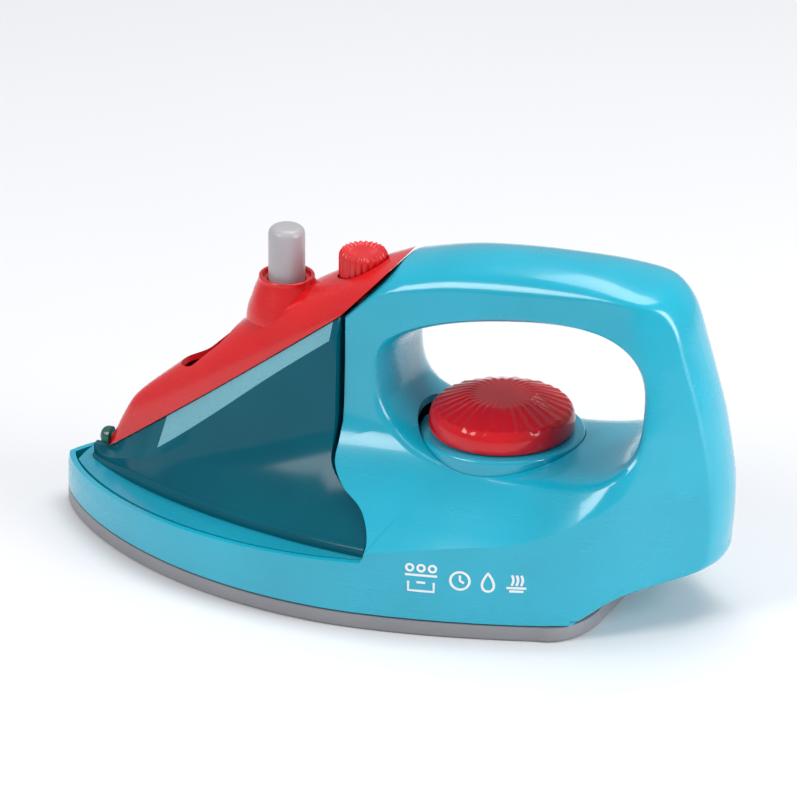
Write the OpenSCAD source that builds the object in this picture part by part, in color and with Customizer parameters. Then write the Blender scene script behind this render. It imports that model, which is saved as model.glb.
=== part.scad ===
/* [Overall] */
// Length from the nose to the back of the heel
body_l = 196; // [170:1:220]
// Greatest width, across the skirt
body_w = 97; // [88:1:108]
// Height that the side outline is laid out to, a little over the handle's top
body_h = 99.6; // [94:0.1:110]
// Wall of the moulded plastic pieces
wall = 2; // [1.6:0.1:2.4]
// Gap between pieces that are fixed to each other
fit_gap = 0.2; // [0.1:0.05:0.3]
// Gap between pieces that move past each other
run_gap = 0.3; // [0.2:0.05:0.4]

/* [Soleplate] */
// Height of the soleplate
sole_t = 4.3; // [3.8:0.1:5]
// Thickness of the soleplate's floor
sole_floor = 1.6; // [1.4:0.1:2]
// Shadow gap between the soleplate and the skirt
sole_gap = 0.5; // [0.3:0.1:0.7]
// Diameter of the holes of the speaker grille
grille_hole = 2.2; // [1.6:0.1:2.6]
// Spacing of the holes of the speaker grille
grille_pitch = 4.6; // [4:0.1:6]

/* [Skirt and deck] */
// Height of the skirt's top edge at the nose
skirt_nose_z = 13.5; // [12.5:0.1:15]
// Height of the skirt's top edge at the back of the tank
skirt_rear_z = 19.3; // [18:0.1:21]
// Thickness of the deck under the tank
deck_t = 2; // [1.6:0.1:2.4]
// Outer diameter of a screw post
post_d = 7; // [6.5:0.1:8]

/* [Handle] */
// Rounding of the finger window's edge
window_round = 4; // [3:0.1:6]

/* [Tank] */
// Wall of the tank
tank_wall = 1.8; // [1.5:0.1:2.2]
// Height of the bead round the tank's foot
bead_h = 2.4; // [2:0.1:3]
// How far the bead stands out
bead_out = 1.6; // [1.2:0.1:2]

/* [Spray pump] */
// Diameter of the push rod
plunger_d = 10; // [9:0.1:10.6]
// Wall of the pump barrel
barrel_wall = 1.4; // [1.2:0.1:1.6]
// Wire of the pump spring
spring_wire = 0.8; // [0.6:0.05:0.9]
// Diameter of the check ball
ball_d = 4; // [3.6:0.1:4.4]
// Outer diameter of the water tubes
tube_d = 4; // [3.6:0.1:4.4]
// Bore of the water tubes
tube_bore = 2.2; // [1.8:0.1:2.6]

/* [Sound button] */
// Diameter of the button
button_d = 13.4; // [12:0.1:14]
// Height of the button above its flange
button_h = 10.8; // [9:0.1:12]
// How far the button goes down
sound_travel = 2; // [1:0.25:2.5]

/* [Dial] */
// Diameter of the dial
dial_d = 39.6; // [36:0.1:41]
// Height of the dial
dial_h = 10; // [9:0.1:10.4]
// Number of facets round the dial
dial_facets = 16; // [12:1:20]
// Diameter of the raised seat under the dial
seat_d = 45; // [43:0.1:47]
// Depth of the seat's skirt inside the shells
seat_skirt = 9.2; // [8:0.1:10]
// Diameter of the dial's shaft
shaft_d = 8; // [7:0.1:9]

/* [Sound and power] */
// Diameter of a battery
cell_d = 14.2; // [13.8:0.1:14.5]
// Length of a battery
cell_l = 50; // [48:0.1:50.5]
// Diameter of the speaker
speaker_d = 29; // [26:0.5:30]
// Height of the speaker
speaker_h = 5; // [4:0.1:5.4]
// Thickness of the circuit boards
board_t = 1.6; // [1.2:0.1:1.8]
// Diameter of the screws
screw_d = 2.6; // [2.2:0.1:2.8]

/* [Hidden] */
overrun = 1;
half_w = body_w / 2;
skirt_z = sole_t + sole_gap;

// Places along the length, as shares of it behind the nose
beam_share = 0.485;
rear_half_share = 0.39;
heel_share = 0.838;
window_x_share = 0.7;
column_share = 0.449;
tank_rear_share = 0.543;
pump_share = 0.333;
button_share = 0.4475;
dial_share = 0.6546;
junction_share = 0.515;
window_reach_share = 0.1852;

// Places up the height, as shares of it
window_z_share = 0.6094;
window_rise_share = 0.1878;
seat_z_share = 0.4337;
collar_z_share = 0.78;
button_top_share = 0.8896;
plunger_top_share = 0.9207;
window_z = window_z_share * body_h;
window_rise = window_rise_share * body_h;
seat_z = seat_z_share * body_h;
collar_z = collar_z_share * body_h;
button_top_z = button_top_share * body_h;
plunger_top_z = plunger_top_share * body_h;
beam_x = beam_share * body_l;
heel_x = heel_share * body_l;
window_x = window_x_share * body_l;
column_x = column_share * body_l;
tank_rear_x = tank_rear_share * body_l;
pump_x = pump_share * body_l;
button_x = button_share * body_l;
dial_x = dial_share * body_l;
window_reach = window_reach_share * body_l;
junction_x = junction_share * body_l;
nose_power = 0.754;
stern_power = 1.7;

// Moves a piece that is drawn from the nose backwards into the part's frame
module from_nose() {
    translate([-body_l / 2, 0, 0]) children();
}

// Straight-line look-up between two values
function mix(a, b, t) = a + (b - a) * t;

// Point on a smooth curve through hand-set points
function spline_at(p, i, t) =
    let (last = len(p) - 1, a = p[max(i - 1, 0)], b = p[i])
    let (c = p[min(i + 1, last)], d = p[min(i + 2, last)])
    b + t * ((c - a) + t * ((2 * a - 5 * b + 4 * c - d) + t * (3 * b - a - 3 * c + d))) / 2;
function smooth(p, steps) = [
    for (i = [0:len(p) - 2]) for (k = [0:steps - 1]) spline_at(p, i, k / steps),
    p[len(p) - 1]
];

// Half width of the body's plan at a distance behind the nose
function bow_half(x) = half_w * pow(max(1 - pow(1 - max(x, 0) / beam_x, 2), 0), nose_power);
function stern_half(x) =
    half_w * (1 - (1 - rear_half_share) * pow((x - beam_x) / (body_l - beam_x), stern_power));
function plan_half(x) = x <= beam_x ? bow_half(x) : stern_half(x);
function skirt_top(x) = mix(skirt_nose_z, skirt_rear_z, x / tank_rear_x);

// Half thickness of the handle and columns, by height
grip_shares = [[0.3, 0.46], [0.45, 0.37], [0.6, 0.345], [0.75, 0.33], [0.9, 0.29], [1.02, 0.27]];
function grip_half(z) = half_w * lookup(z / body_h, grip_shares);

// Height of the crease under the shoulder, and of the shoulder's top, by length
crease_shares = [
    [0.45, 0.205], [0.54, 0.222], [0.66, 0.26], [0.755, 0.285], [0.825, 0.337],
    [0.87, 0.39], [0.91, 0.46], [0.94, 0.56], [0.96, 0.66], [0.98, 0.76], [1, 0.8]
];
scoop_shares = [
    [0.45, 0.47], [0.54, 0.47], [0.66, 0.46], [0.755, 0.48], [0.825, 0.56],
    [0.87, 0.66], [0.91, 0.78], [0.94, 0.87], [1, 0.98]
];
scoop_power = 1.8;
draft = 0.03;

// Flat back with the sides drawn in to it: where it lies, by height, and the half width ahead of it
rear_shares = [
    [0.1, 0.985], [0.22, 0.987], [0.38, 0.991], [0.57, 0.977], [0.75, 0.952], [0.87, 0.933], [1, 0.905]
];
stern_shares = [0.165, 0.62, 0.58];
stern_blend = 10;
function back_half(x, z) =
    let (t = max(body_l * lookup(z / body_h, rear_shares) - x, 0) / half_w)
    half_w * (stern_shares[0] + stern_shares[1] * t + stern_shares[2] * t * t);
function soft_least(a, b) = pow(pow(a, -stern_blend) + pow(b, -stern_blend), -1 / stern_blend);
function side_half(x, z) =
    let (w = plan_half(x) - draft * (z - skirt_z), t = grip_half(z))
    let (low = body_h * lookup(x / body_l, crease_shares))
    let (high = body_h * lookup(x / body_l, scoop_shares))
    let (s = min(max((z - low) / (high - low), 0), 1))
    w <= t ? w : t + (w - t) * pow(1 - s, scoop_power);
function body_half(x, z) = soft_least(side_half(x, z), back_half(x, z));

// Side outline of the shells: length, height and edge rounding, as shares
handle_shares = [
    [0.515, 0.898, 0.13], [0.6, 0.942, 0.14], [0.7, 0.965, 0.14], [0.8, 0.968, 0.13],
    [0.865, 0.953, 0.1], [0.908, 0.928, 0.07], [0.933, 0.87, 0.05], [0.952, 0.75, 0.05],
    [0.977, 0.57, 0.05], [0.991, 0.38, 0.05], [0.987, 0.22, 0.05], [0.972, 0.152, 0.045],
    [0.885, 0.1, 0.045]
];
throat_shares = [
    [0.543, 0.23, 0.031], [0.515, 0.284, 0.031], [0.477, 0.319, 0.031], [0.453, 0.361, 0.031],
    [0.449, 0.41, 0.031]
];
edge_round = 1.5;
brow_z = 0.761 * body_h;
junction_z = 0.898 * body_h;
function sized(shares) = [for (s = shares) [s[0] * body_l, s[1] * body_h, s[2] * half_w]];
outline_top = concat(smooth(concat(sized(handle_shares), [[heel_x, skirt_z, edge_round]]), 3));
outline_floor = [for (k = [0:5]) [mix(heel_x - wall, tank_rear_x, k / 5), skirt_z, edge_round]];
throat_start = [[tank_rear_x + fit_gap, skirt_rear_z + fit_gap, edge_round]];
outline_throat = smooth(concat(throat_start, sized(throat_shares)), 2);
outline_brow = [
    for (k = [1:4]) [column_x, mix(throat_shares[4][1] * body_h, brow_z, k / 4), edge_round],
    for (k = [1:2]) [mix(column_x, junction_x, k / 3), mix(brow_z, junction_z, k / 3), edge_round]
];
outline = concat(
    outline_top, outline_floor, [[tank_rear_x, skirt_rear_z, edge_round]],
    outline_throat, outline_brow
);
floor_first = len(outline_top);
floor_last = floor_first + len(outline_floor);
function is_open(i) = i >= floor_first && i <= floor_last;

// Finger window: a rounded loop whose top edge climbs towards the heel
window_power = 3;
window_tilt = 0.15;
window_mid = [window_x, window_z];
function window_at(d) =
    let (cx = abs(d[0]) / window_reach, cz = abs(d[1]) / window_rise)
    let (r = 1 / pow(pow(cx, window_power) + pow(cz, window_power), 1 / window_power))
    window_mid + [r * d[0], r * d[1] + window_tilt * r * d[0] * max(r * d[1] / window_rise, 0)];

// Where a line from the side outline crosses the crease, found by halving
function above_crease(c) = c[1] - body_h * lookup(c[0] / body_l, crease_shares);
halvings = 12;
function crossing(p, dir, a, b, left) =
    let (mid = (a + b) / 2)
    left == 0 ? mid
    : above_crease(p + mid * dir) > 0 ? crossing(p, dir, a, mid, left - 1)
    : crossing(p, dir, mid, b, left - 1);
function mid_places(p, dir, a, b, steps) =
    let (split = above_crease(p + a * dir) < 0 && above_crease(p + b * dir) > 0)
    let (c = split ? crossing(p, dir, a, b, halvings) : 0, first = floor(0.4 * steps))
    [
        for (k = [1:steps - 1])
            !split ? mix(a, b, k / steps)
            : k <= first ? mix(a, c, k / first)
            : mix(c, b, (k - first) / (steps - first))
    ];

// One closed section of the half shell, from the side outline to the window and back
function rows(o, open, inset, round_steps, mid_rows) =
    let (p = [o[0], o[1]], away = (p - window_mid) / norm(p - window_mid))
    let (q = window_at(away), span = norm(q - p), dir = (q - p) / span)
    let (near = min(o[2], 0.45 * span), far = min(window_round, 0.45 * span))
    let (near_in = max(near - inset, 0.1 * wall), far_in = max(far - inset, 0.1 * wall))
    let (start = open ? 0 : inset, ease = 90 / round_steps)
    let (places = [
        for (k = [0:round_steps]) [start + near_in * (1 - cos(ease * k)), open ? 1 : sin(ease * k)],
        for (d = mid_places(p, dir, start + near_in, span - inset - far_in, mid_rows)) [d, 1],
        for (k = [round_steps:-1:0]) [span - inset - far_in * (1 - cos(ease * k)), sin(ease * k)]
    ])
    [for (s = places) let (c = p + dir * s[0]) [c[0], (body_half(c[0], c[1]) - inset) * s[1], c[1]]];
function reversed(p) = [for (i = [len(p) - 1:-1:0]) p[i]];
outer_steps = 4;
inner_steps = 2;
outer_rows = 13;
inner_rows = 4;
function section(i) = concat(
    rows(outline[i], is_open(i), 0, outer_steps, outer_rows),
    reversed(rows(outline[i], is_open(i), wall, inner_steps, inner_rows))
);
sections = [for (i = [0:len(outline) - 1]) section(i)];

// Skirt wall from the back of the tank round to the nose: four corners per station
skirt_steps = 16;
function skirt_x(k) = tank_rear_x * (1 - sin(90 * k / skirt_steps));
function skirt_corner(k) =
    let (x = skirt_x(k), w = k == skirt_steps ? 0 : plan_half(x))
    let (step = 0.1 * wall, slope = (plan_half(x + step) - plan_half(max(x - step, 0))) / (2 * step))
    let (n = k == 0 ? [0, 1] : k == skirt_steps ? [-1, 0] : [-slope, 1] / norm([slope, 1]))
    let (inner = [x, w] - wall * n, top = k == 0 ? skirt_rear_z : skirt_top(x))
    let (w_low = k == 0 ? body_half(x, skirt_z) : w, w_top = k == 0 ? body_half(x, top) : w)
    [
        [x, w_low, skirt_z], [x, w_top, top],
        [inner[0], k == 0 ? w_top - wall : max(inner[1], 0), top],
        [inner[0], k == 0 ? w_low - wall : max(inner[1], 0), skirt_z]
    ];

module half_shell_skin() {
    n = len(sections);
    m = len(sections[0]);
    ring_points = [for (s = sections) for (p = s) p];
    skirt_points = [for (k = [1:skirt_steps]) for (p = skirt_corner(k)) p];
    base = n * m;
    hooks = [floor_last - 1, floor_last];
    first_ring = [hooks[0] * m, hooks[1] * m, hooks[1] * m + m - 1, hooks[0] * m + m - 1];
    function corner(k, c) = k == 0 ? first_ring[c] : base + 4 * (k - 1) + c;
    ring_faces = [
        for (i = [0:n - 1]) for (j = [0:m - 1])
            let (i2 = (i + 1) % n, j2 = (j + 1) % m)
            if (!(i == hooks[0] && j == m - 1))
                each [[i * m + j, i * m + j2, i2 * m + j2], [i * m + j, i2 * m + j2, i2 * m + j]]
    ];
    skirt_faces = [
        for (k = [0:skirt_steps - 1]) for (c = [0:3])
            let (c2 = (c + 1) % 4)
            each [
                [corner(k, c), corner(k, c2), corner(k + 1, c2)],
                [corner(k, c), corner(k + 1, c2), corner(k + 1, c)]
            ]
    ];
    last = skirt_steps;
    cap = [
        [corner(last, 0), corner(last, 1), corner(last, 2)],
        [corner(last, 0), corner(last, 2), corner(last, 3)]
    ];
    polyhedron(concat(ring_points, skirt_points), concat(ring_faces, skirt_faces, cap));
}

// Screws that close the two shells: length and height, as shares
boss_shares = [[0.484, 0.5], [0.765, 0.883], [0.905, 0.77], [0.877, 0.27]];
boss_places = [for (s = boss_shares) [s[0] * body_l, s[1] * body_h]];
boss_d = 2.4 * screw_d;
head_d = 2 * screw_d;
head_t = 0.7 * screw_d;
pilot_gap = 0.05;
head_sink = 1.2 * wall;
screw_bite = 3 * screw_d;
function boss_reach(p) = body_half(p[0], p[1]);

// Cylinder lying across the body, from y0 to y1
module crossbar(p, d, y0, y1) {
    translate([p[0], y0, p[1]]) rotate([-90, 0, 0]) cylinder(d = d, h = y1 - y0, $fn = 32);
}

// Pocket for the sound button's flange and well, which the shells and the tank leave open
well_d = button_d + 2 * run_gap;
well_wall = 1.4;
flange_r = well_d / 2 + well_wall;
pocket_d = well_d + 2 * well_wall + 2 * run_gap;
flange_z = button_top_z - button_h;
well_bottom_z = flange_z + fit_gap;
flange_t = 1;
pocket_z = flange_z - flange_t - sound_travel - run_gap;
module button_pocket() {
    translate([button_x, 0, pocket_z]) cylinder(d = pocket_d, h = body_h - pocket_z, $fn = 48);
}

// Hole that the dial's seat fills
module seat_hole() {
    translate([dial_x, 0, seat_z - seat_skirt - fit_gap])
        cylinder(d = seat_d + 2 * fit_gap, h = window_z - seat_z + seat_skirt, $fn = 64);
}

module half_shell(head_side) {
    resize([0, half_w, 0]) difference() {
        union() {
            half_shell_skin();
            for (p = boss_places) crossbar(p, boss_d, 0, boss_reach(p) - wall / 2);
        }
        seat_hole();
        button_pocket();
        for (p = boss_places) {
            if (head_side) {
                crossbar(p, screw_d + 2 * pilot_gap, -overrun, boss_reach(p) + overrun);
                crossbar(p, head_d + 2 * fit_gap, boss_reach(p) - head_sink - head_t, half_w + overrun);
            } else {
                crossbar(p, screw_d + 2 * pilot_gap, -overrun, screw_bite + overrun);
            }
        }
    }
}
module left_shell() {
    color([0.16, 0.72, 0.83]) from_nose() mirror([0, 1, 0]) half_shell(false);
}
module right_shell() {
    color([0.16, 0.72, 0.83]) from_nose() half_shell(true);
}

// Soleplate: the same bow, cut off at the back with rounded corners
sole_end_x = 0.842 * body_l;
corner_x = 0.785 * body_l;
tail_half = 0.4 * half_w;
outline_steps = 40;
function corner_arc(x) = sqrt(max(1 - pow((x - corner_x) / (sole_end_x - corner_x), 2), 0));
function sole_half(x) =
    x < corner_x ? plan_half(x) : mix(tail_half, plan_half(corner_x), corner_arc(x));
function sole_side(inset) = [
    for (k = [0:outline_steps])
        let (x = mix(2 * inset, sole_end_x - inset, (1 - cos(180 * k / outline_steps)) / 2))
        let (w = k == 0 ? 0 : sole_half(x + inset * (x > corner_x ? 1 : 0)) - inset)
        [x, max(w, 0)]
];
module sole_plan(inset) {
    side = sole_side(inset);
    polygon(concat(side, [for (k = [outline_steps:-1:1]) [side[k][0], -side[k][1]]]));
}
sole_rim = 1.6;

// Battery compartment, opened from below, with the cells lying across the body
contact_room = 3;
box_wall = 1.4;
box_mid_x = 0.648 * body_l;
box_in_l = cell_l + 2 * contact_room;
box_in_w = 2 * cell_d + 3 * fit_gap;
door_lip = 9;
door_sink = 0.4;
cell_z = sole_floor + cell_d / 2 + fit_gap;
box_top_z = cell_z + cell_d / 2 + fit_gap;
door_screw_x = box_mid_x + box_in_w / 2 + box_wall + door_lip / 2;
module door_shape(gap, low, high) {
    translate([box_mid_x - box_in_w / 2 + gap, -box_in_l / 2 + gap, low])
        cube([box_in_w + box_wall + door_lip - 2 * gap, box_in_l - 2 * gap, high - low]);
}

// Raised pads that sink the heads of the screws from below
head_floor = 0.6;
screw_seat_z = head_t + head_floor;
pad_top_z = screw_seat_z + 1.5 * head_floor;
pad_d = head_d + 1.5 * wall;
module screw_hole(p) {
    translate([p[0], p[1], -overrun]) {
        cylinder(d = screw_d + 2 * pilot_gap, h = pad_top_z + 2 * overrun, $fn = 24);
        cylinder(d = head_d + 2 * fit_gap, h = screw_seat_z + overrun, $fn = 32);
    }
}

// Screws that hold the soleplate to the deck's posts
sole_screw_shares = [[0.165, 0], [0.43, 0.66], [0.43, -0.66]];
sole_screw_places = [for (s = sole_screw_shares) [s[0] * body_l, s[1] * half_w]];
speaker_x = 0.29 * body_l;
grille_rings = 2;
grille_places = [
    [0, 0],
    for (r = [1:grille_rings]) for (k = [0:6 * r - 1])
        r * grille_pitch * [cos(60 * k / r), sin(60 * k / r)]
];

module soleplate() {
    color([0.7, 0.7, 0.71]) from_nose() difference() {
        union() {
            difference() {
                linear_extrude(sole_t) sole_plan(0);
                translate([0, 0, sole_floor]) linear_extrude(sole_t) sole_plan(sole_rim);
            }
            for (p = sole_screw_places) translate([p[0], p[1], sole_floor / 2])
                cylinder(d = pad_d, h = pad_top_z - sole_floor / 2, $fn = 48);
        }
        door_shape(0, -overrun, sole_floor + overrun);
        for (g = grille_places)
            translate([speaker_x + g[0], g[1], -overrun])
                cylinder(d = grille_hole, h = sole_floor + 2 * overrun, $fn = 16);
        for (p = sole_screw_places) screw_hole(p);
    }
}

// Deck under the tank: a sloping plate with screw posts down to the soleplate
function deck_top(x) = skirt_top(x);
deck_start = wall + 2 * fit_gap;
deck_end = tank_rear_x - fit_gap;
deck_steps = 24;
deck_side = [
    for (k = [0:deck_steps])
        let (x = mix(2 * deck_start, deck_end, 1 - cos(90 * k / deck_steps)))
        [x, k == 0 ? 0 : max(plan_half(x) - wall - 3.5 * fit_gap - bow_lean(x), 0)]
];
function bow_lean(x) = wall * 0.8 * pow(max(1 - x / beam_x, 0), 2);
module deck_plan() {
    polygon(concat(deck_side, [for (k = [deck_steps:-1:1]) [deck_side[k][0], -deck_side[k][1]]]));
}
module deck_slice(low, high) {
    translate([0, half_w, 0]) rotate([90, 0, 0]) linear_extrude(body_w) polygon([
        [-overrun, deck_top(-overrun) - low], [tank_rear_x, deck_top(tank_rear_x) - low],
        [tank_rear_x, deck_top(tank_rear_x) - high], [-overrun, deck_top(-overrun) - high]
    ]);
}
module tank_deck() {
    color([0.12, 0.62, 0.74]) from_nose() difference() {
        union() {
            intersection() {
                linear_extrude(body_h) deck_plan();
                deck_slice(deck_t, 0);
            }
            for (p = sole_screw_places) intersection() {
                translate([p[0], p[1], pad_top_z]) cylinder(d = post_d, h = body_h, $fn = 48);
                deck_slice(body_h, deck_t / 2);
            }
        }
        for (p = sole_screw_places) translate([p[0], p[1], pad_top_z - overrun])
            cylinder(d = screw_d + 2 * pilot_gap, h = 2.2 * screw_d + overrun, $fn = 24);
    }
}

// Tank: foot outline on the deck, flaring side and a tilted band under the cover's edge
tip_x = 0.0663 * body_l;
tip_z = 0.18 * body_h;
edge_slope = (brow_z - tip_z) / (column_x - tip_x);
function edge_z(x) = tip_z + edge_slope * (min(max(x, tip_x), column_x) - tip_x);
edge_shares = [
    [0.0663, 0.03], [0.1, 0.09], [0.153, 0.155], [0.243, 0.247], [0.356, 0.309], [0.449, 0.33]
];
function edge_half(x) = half_w * lookup(x / body_l, edge_shares);
ledge_shares = [[0.04, 0.21], [0.13, 0.25], [0.24, 0.26], [0.36, 0.225], [0.48, 0.145], [0.543, 0.085]];
function foot_half(x) = plan_half(x) - half_w * lookup(x / body_l, ledge_shares);
band_shares = [
    [0.05, 0.03, 0.03], [0.1275, 0.11, 0.065], [0.18, 0.14, 0.07], [0.255, 0.12, 0.064],
    [0.357, 0.09, 0.05], [0.449, 0.052, 0.05]
];
band_out_shares = [for (s = band_shares) [s[0], s[1]]];
band_drop_shares = [for (s = band_shares) [s[0], s[2]]];
function band_out(x) = half_w * lookup(x / body_l, band_out_shares);
function band_drop(x) = body_h * lookup(x / body_l, band_drop_shares);
flare_height_share = 0.47;
flare_power = 1.8;
flare_steps = 4;
function tank_section(x, inset, top) =
    let (b = deck_top(x) + fit_gap, f = foot_half(x), z_edge = edge_z(x) - 2 * fit_gap)
    let (e = max(edge_half(x) - inset - fit_gap, 0.15 * wall), room = z_edge - b)
    let (bead = min(bead_h, 0.2 * room), y1 = max(f - bead_out, 0.5 * wall), z1 = b + 1.1 * bead)
    let (zb = max(edge_z(x) - band_drop(x), z1 + 0.35 * room), yb = min(e + band_out(x), y1))
    let (zm = z1 + min(flare_height_share * (edge_z(x) - z1), 0.8 * (zb - z1)))
    let (ym = min(yb + 0.03 * half_w, y1), back = 1.5 * inset, foot_in = max(y1 - back, 0.2 * wall))
    concat(
        inset > 0 ? [[foot_in, b + inset]] : [[f, b], [f, b + bead]],
        [for (k = [0:flare_steps])
            [
                max(mix(ym, y1, pow(1 - k / flare_steps, flare_power)) - back, 0.2 * wall),
                mix(max(z1, b + 1.1 * inset), zm, k / flare_steps)
            ]],
        [[max(yb - inset / 2, 0.2 * wall), zb], [e, z_edge]],
        top > 0 ? [[e, z_edge + top]] : []
    );
tank_stations = 18;
module tank_body(x0, x1, inset, top) {
    half = [
        for (k = [0:tank_stations])
            let (x = mix(x0, x1, pow(k / tank_stations, 1.3)))
            [for (p = tank_section(x, inset, top)) [x, p[0], p[1]]]
    ];
    rings = [for (h = half) concat(h, reversed([for (p = h) [p[0], -p[1], p[2]]]))];
    m = len(rings[0]);
    n = len(rings);
    skin = [
        for (i = [0:n - 2]) for (j = [0:m - 1])
            let (j2 = (j + 1) % m)
            each [[i * m + j, (i + 1) * m + j2, i * m + j2], [i * m + j, (i + 1) * m + j, (i + 1) * m + j2]]
    ];
    // End caps are strips between each point and its twin on the other side
    function strip(i, flip) = [
        for (j = [0:m / 2 - 2])
            let (a = i * m + j, b = a + 1, c = i * m + m - 1 - j, d = c - 1)
            each flip ? [[a, b, d], [a, d, c]] : [[a, d, b], [a, c, d]]
    ];
    polyhedron([for (r = rings) for (p = r) p], concat(skin, strip(0, true), strip(n - 1, false)));
}
// Space over the tank's foot that the shells' throat takes
module over_throat(gap) {
    line = concat(
        [[tank_rear_x + overrun, skirt_rear_z + bead_h]],
        [for (p = outline_throat) if (p[1] > skirt_rear_z + bead_h) [p[0], p[1]]]
    );
    translate([0, half_w, 0]) rotate([90, 0, 0]) linear_extrude(body_w) polygon(concat(
        [for (p = line) [p[0] - gap, p[1] - gap]],
        [[column_x - gap, body_h], [body_l, body_h], [body_l, line[0][1] - gap]]
    ));
}
tank_nose_x = 0.041 * body_l;
nozzle_z = 0.203 * body_h;
tube_gap = 0.25;
nozzle_d = 5.2;
spigot_d = 2.4;
hose_start_x = 0.09 * body_l;
module nozzle_channel() {
    translate([0, 0, nozzle_z]) rotate([0, 90, 0]) {
        cylinder(d = nozzle_d + 2 * fit_gap, h = tip_x + fit_gap, $fn = 32);
        cylinder(d = spigot_d + 2 * tube_gap, h = hose_start_x, $fn = 32);
        translate([0, 0, hose_start_x - fit_gap])
            cylinder(d = tube_d + 2 * tube_gap, h = 0.027 * body_l, $fn = 32);
    }
}
module water_tank() {
    color([0, 0.36, 0.43, 0.6]) from_nose() resize([0, 2 * foot_half(tank_rear_x - fit_gap), 0])
        difference() {
            tank_body(tank_nose_x, tank_rear_x - fit_gap, 0, 0);
            over_throat(fit_gap);
            difference() {
                tank_body(tip_x + 2.5 * tank_wall, tank_rear_x - tank_wall, tank_wall, overrun);
                over_throat(fit_gap + tank_wall);
            }
            nozzle_channel();
            button_pocket();
        }
}

// Cover: a crowned shield over the tank, from the nose tip to the handle
ridge_shares = [
    [0.0663, 0.205], [0.075, 0.232], [0.089, 0.291], [0.11, 0.355], [0.167, 0.455],
    [0.217, 0.536], [0.277, 0.637], [0.333, 0.713], [0.389, 0.786], [0.449, 0.845], [0.515, 0.9]
];
ridge_curve = smooth([for (s = ridge_shares) [s[0] * body_l, s[1] * body_h]], 3);
function ridge_z(x) = lookup(x, ridge_curve);
crown_power = 2.4;
cover_gap = 2 * fit_gap;
cover_stations = 20;
arc_steps = 10;
function cover_point(t, a, inset) =
    let (xe = mix(tip_x, column_x - cover_gap, t), xr = mix(tip_x, junction_x - cover_gap, t))
    let (e = edge_half(xe), half = max(e - inset, 0.3 * e))
    let (rise = ridge_z(xr) - edge_z(xe), top = max(rise - 1.2 * inset, 0.3 * rise))
    let (c = cos(a), lift = pow(sin(a), 2 / crown_power))
    [
        mix(xe, xr, lift * top / rise),
        half * sign(c) * pow(abs(c), 2 / crown_power),
        edge_z(xe) + top * lift
    ];
function cover_ring(t) = concat(
    [for (k = [0:arc_steps]) cover_point(t, 180 * k / arc_steps, 0)],
    [for (k = [arc_steps:-1:0]) cover_point(t, 180 * k / arc_steps, wall)]
);
module cover_skin() {
    rings = [for (i = [0:cover_stations]) cover_ring(pow(i / cover_stations, 1.2))];
    m = len(rings[0]);
    n = len(rings);
    half = m / 2;
    skin = [
        for (i = [0:n - 2]) for (j = [0:m - 1])
            let (j2 = (j + 1) % m)
            each [[i * m + j, (i + 1) * m + j2, i * m + j2], [i * m + j, (i + 1) * m + j, (i + 1) * m + j2]]
    ];
    function cap(i, flip) = [
        for (j = [0:half - 2])
            let (a = i * m + j, b = a + 1, c = i * m + m - 1 - j, d = c - 1)
            each flip ? [[a, b, d], [a, d, c]] : [[a, d, b], [a, c, d]]
    ];
    polyhedron([for (r = rings) for (p = r) p], concat(skin, cap(0, true), cap(n - 1, false)));
}

// Spray pump sizes
chamber_d = plunger_d + 2 * run_gap;
barrel_d = chamber_d + 2 * barrel_wall;
barrel_top_z = 0.685 * body_h;
barrel_floor_z = 0.26 * body_h;
barrel_floor_t = 4;
cage_d = ball_d + 2 * run_gap;
cage_h = 1.25 * ball_d;
cage_z = barrel_floor_z + barrel_floor_t;
spring_z = cage_z + cage_h;
plunger_l = 0.4 * body_h;
plunger_end_z = plunger_top_z - plunger_l;
seal_h = 2;
seal_z = plunger_end_z + 1.5 * seal_h;
outlet_z = 0.402 * body_h;
outlet_reach = 3;
spigot_z = barrel_top_z - 0.5 * plunger_d - wall / 2;
collar_rim_d = 15.2;
collar_foot_d = 21;
collar_rise = 9;
collar_foot_z = collar_z - collar_rise;
cup_depth = 1.2;
fill_start = 0.19;
fill_end = 0.25;
fill_w = 9;
fill_tilt = atan(edge_slope);

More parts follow.
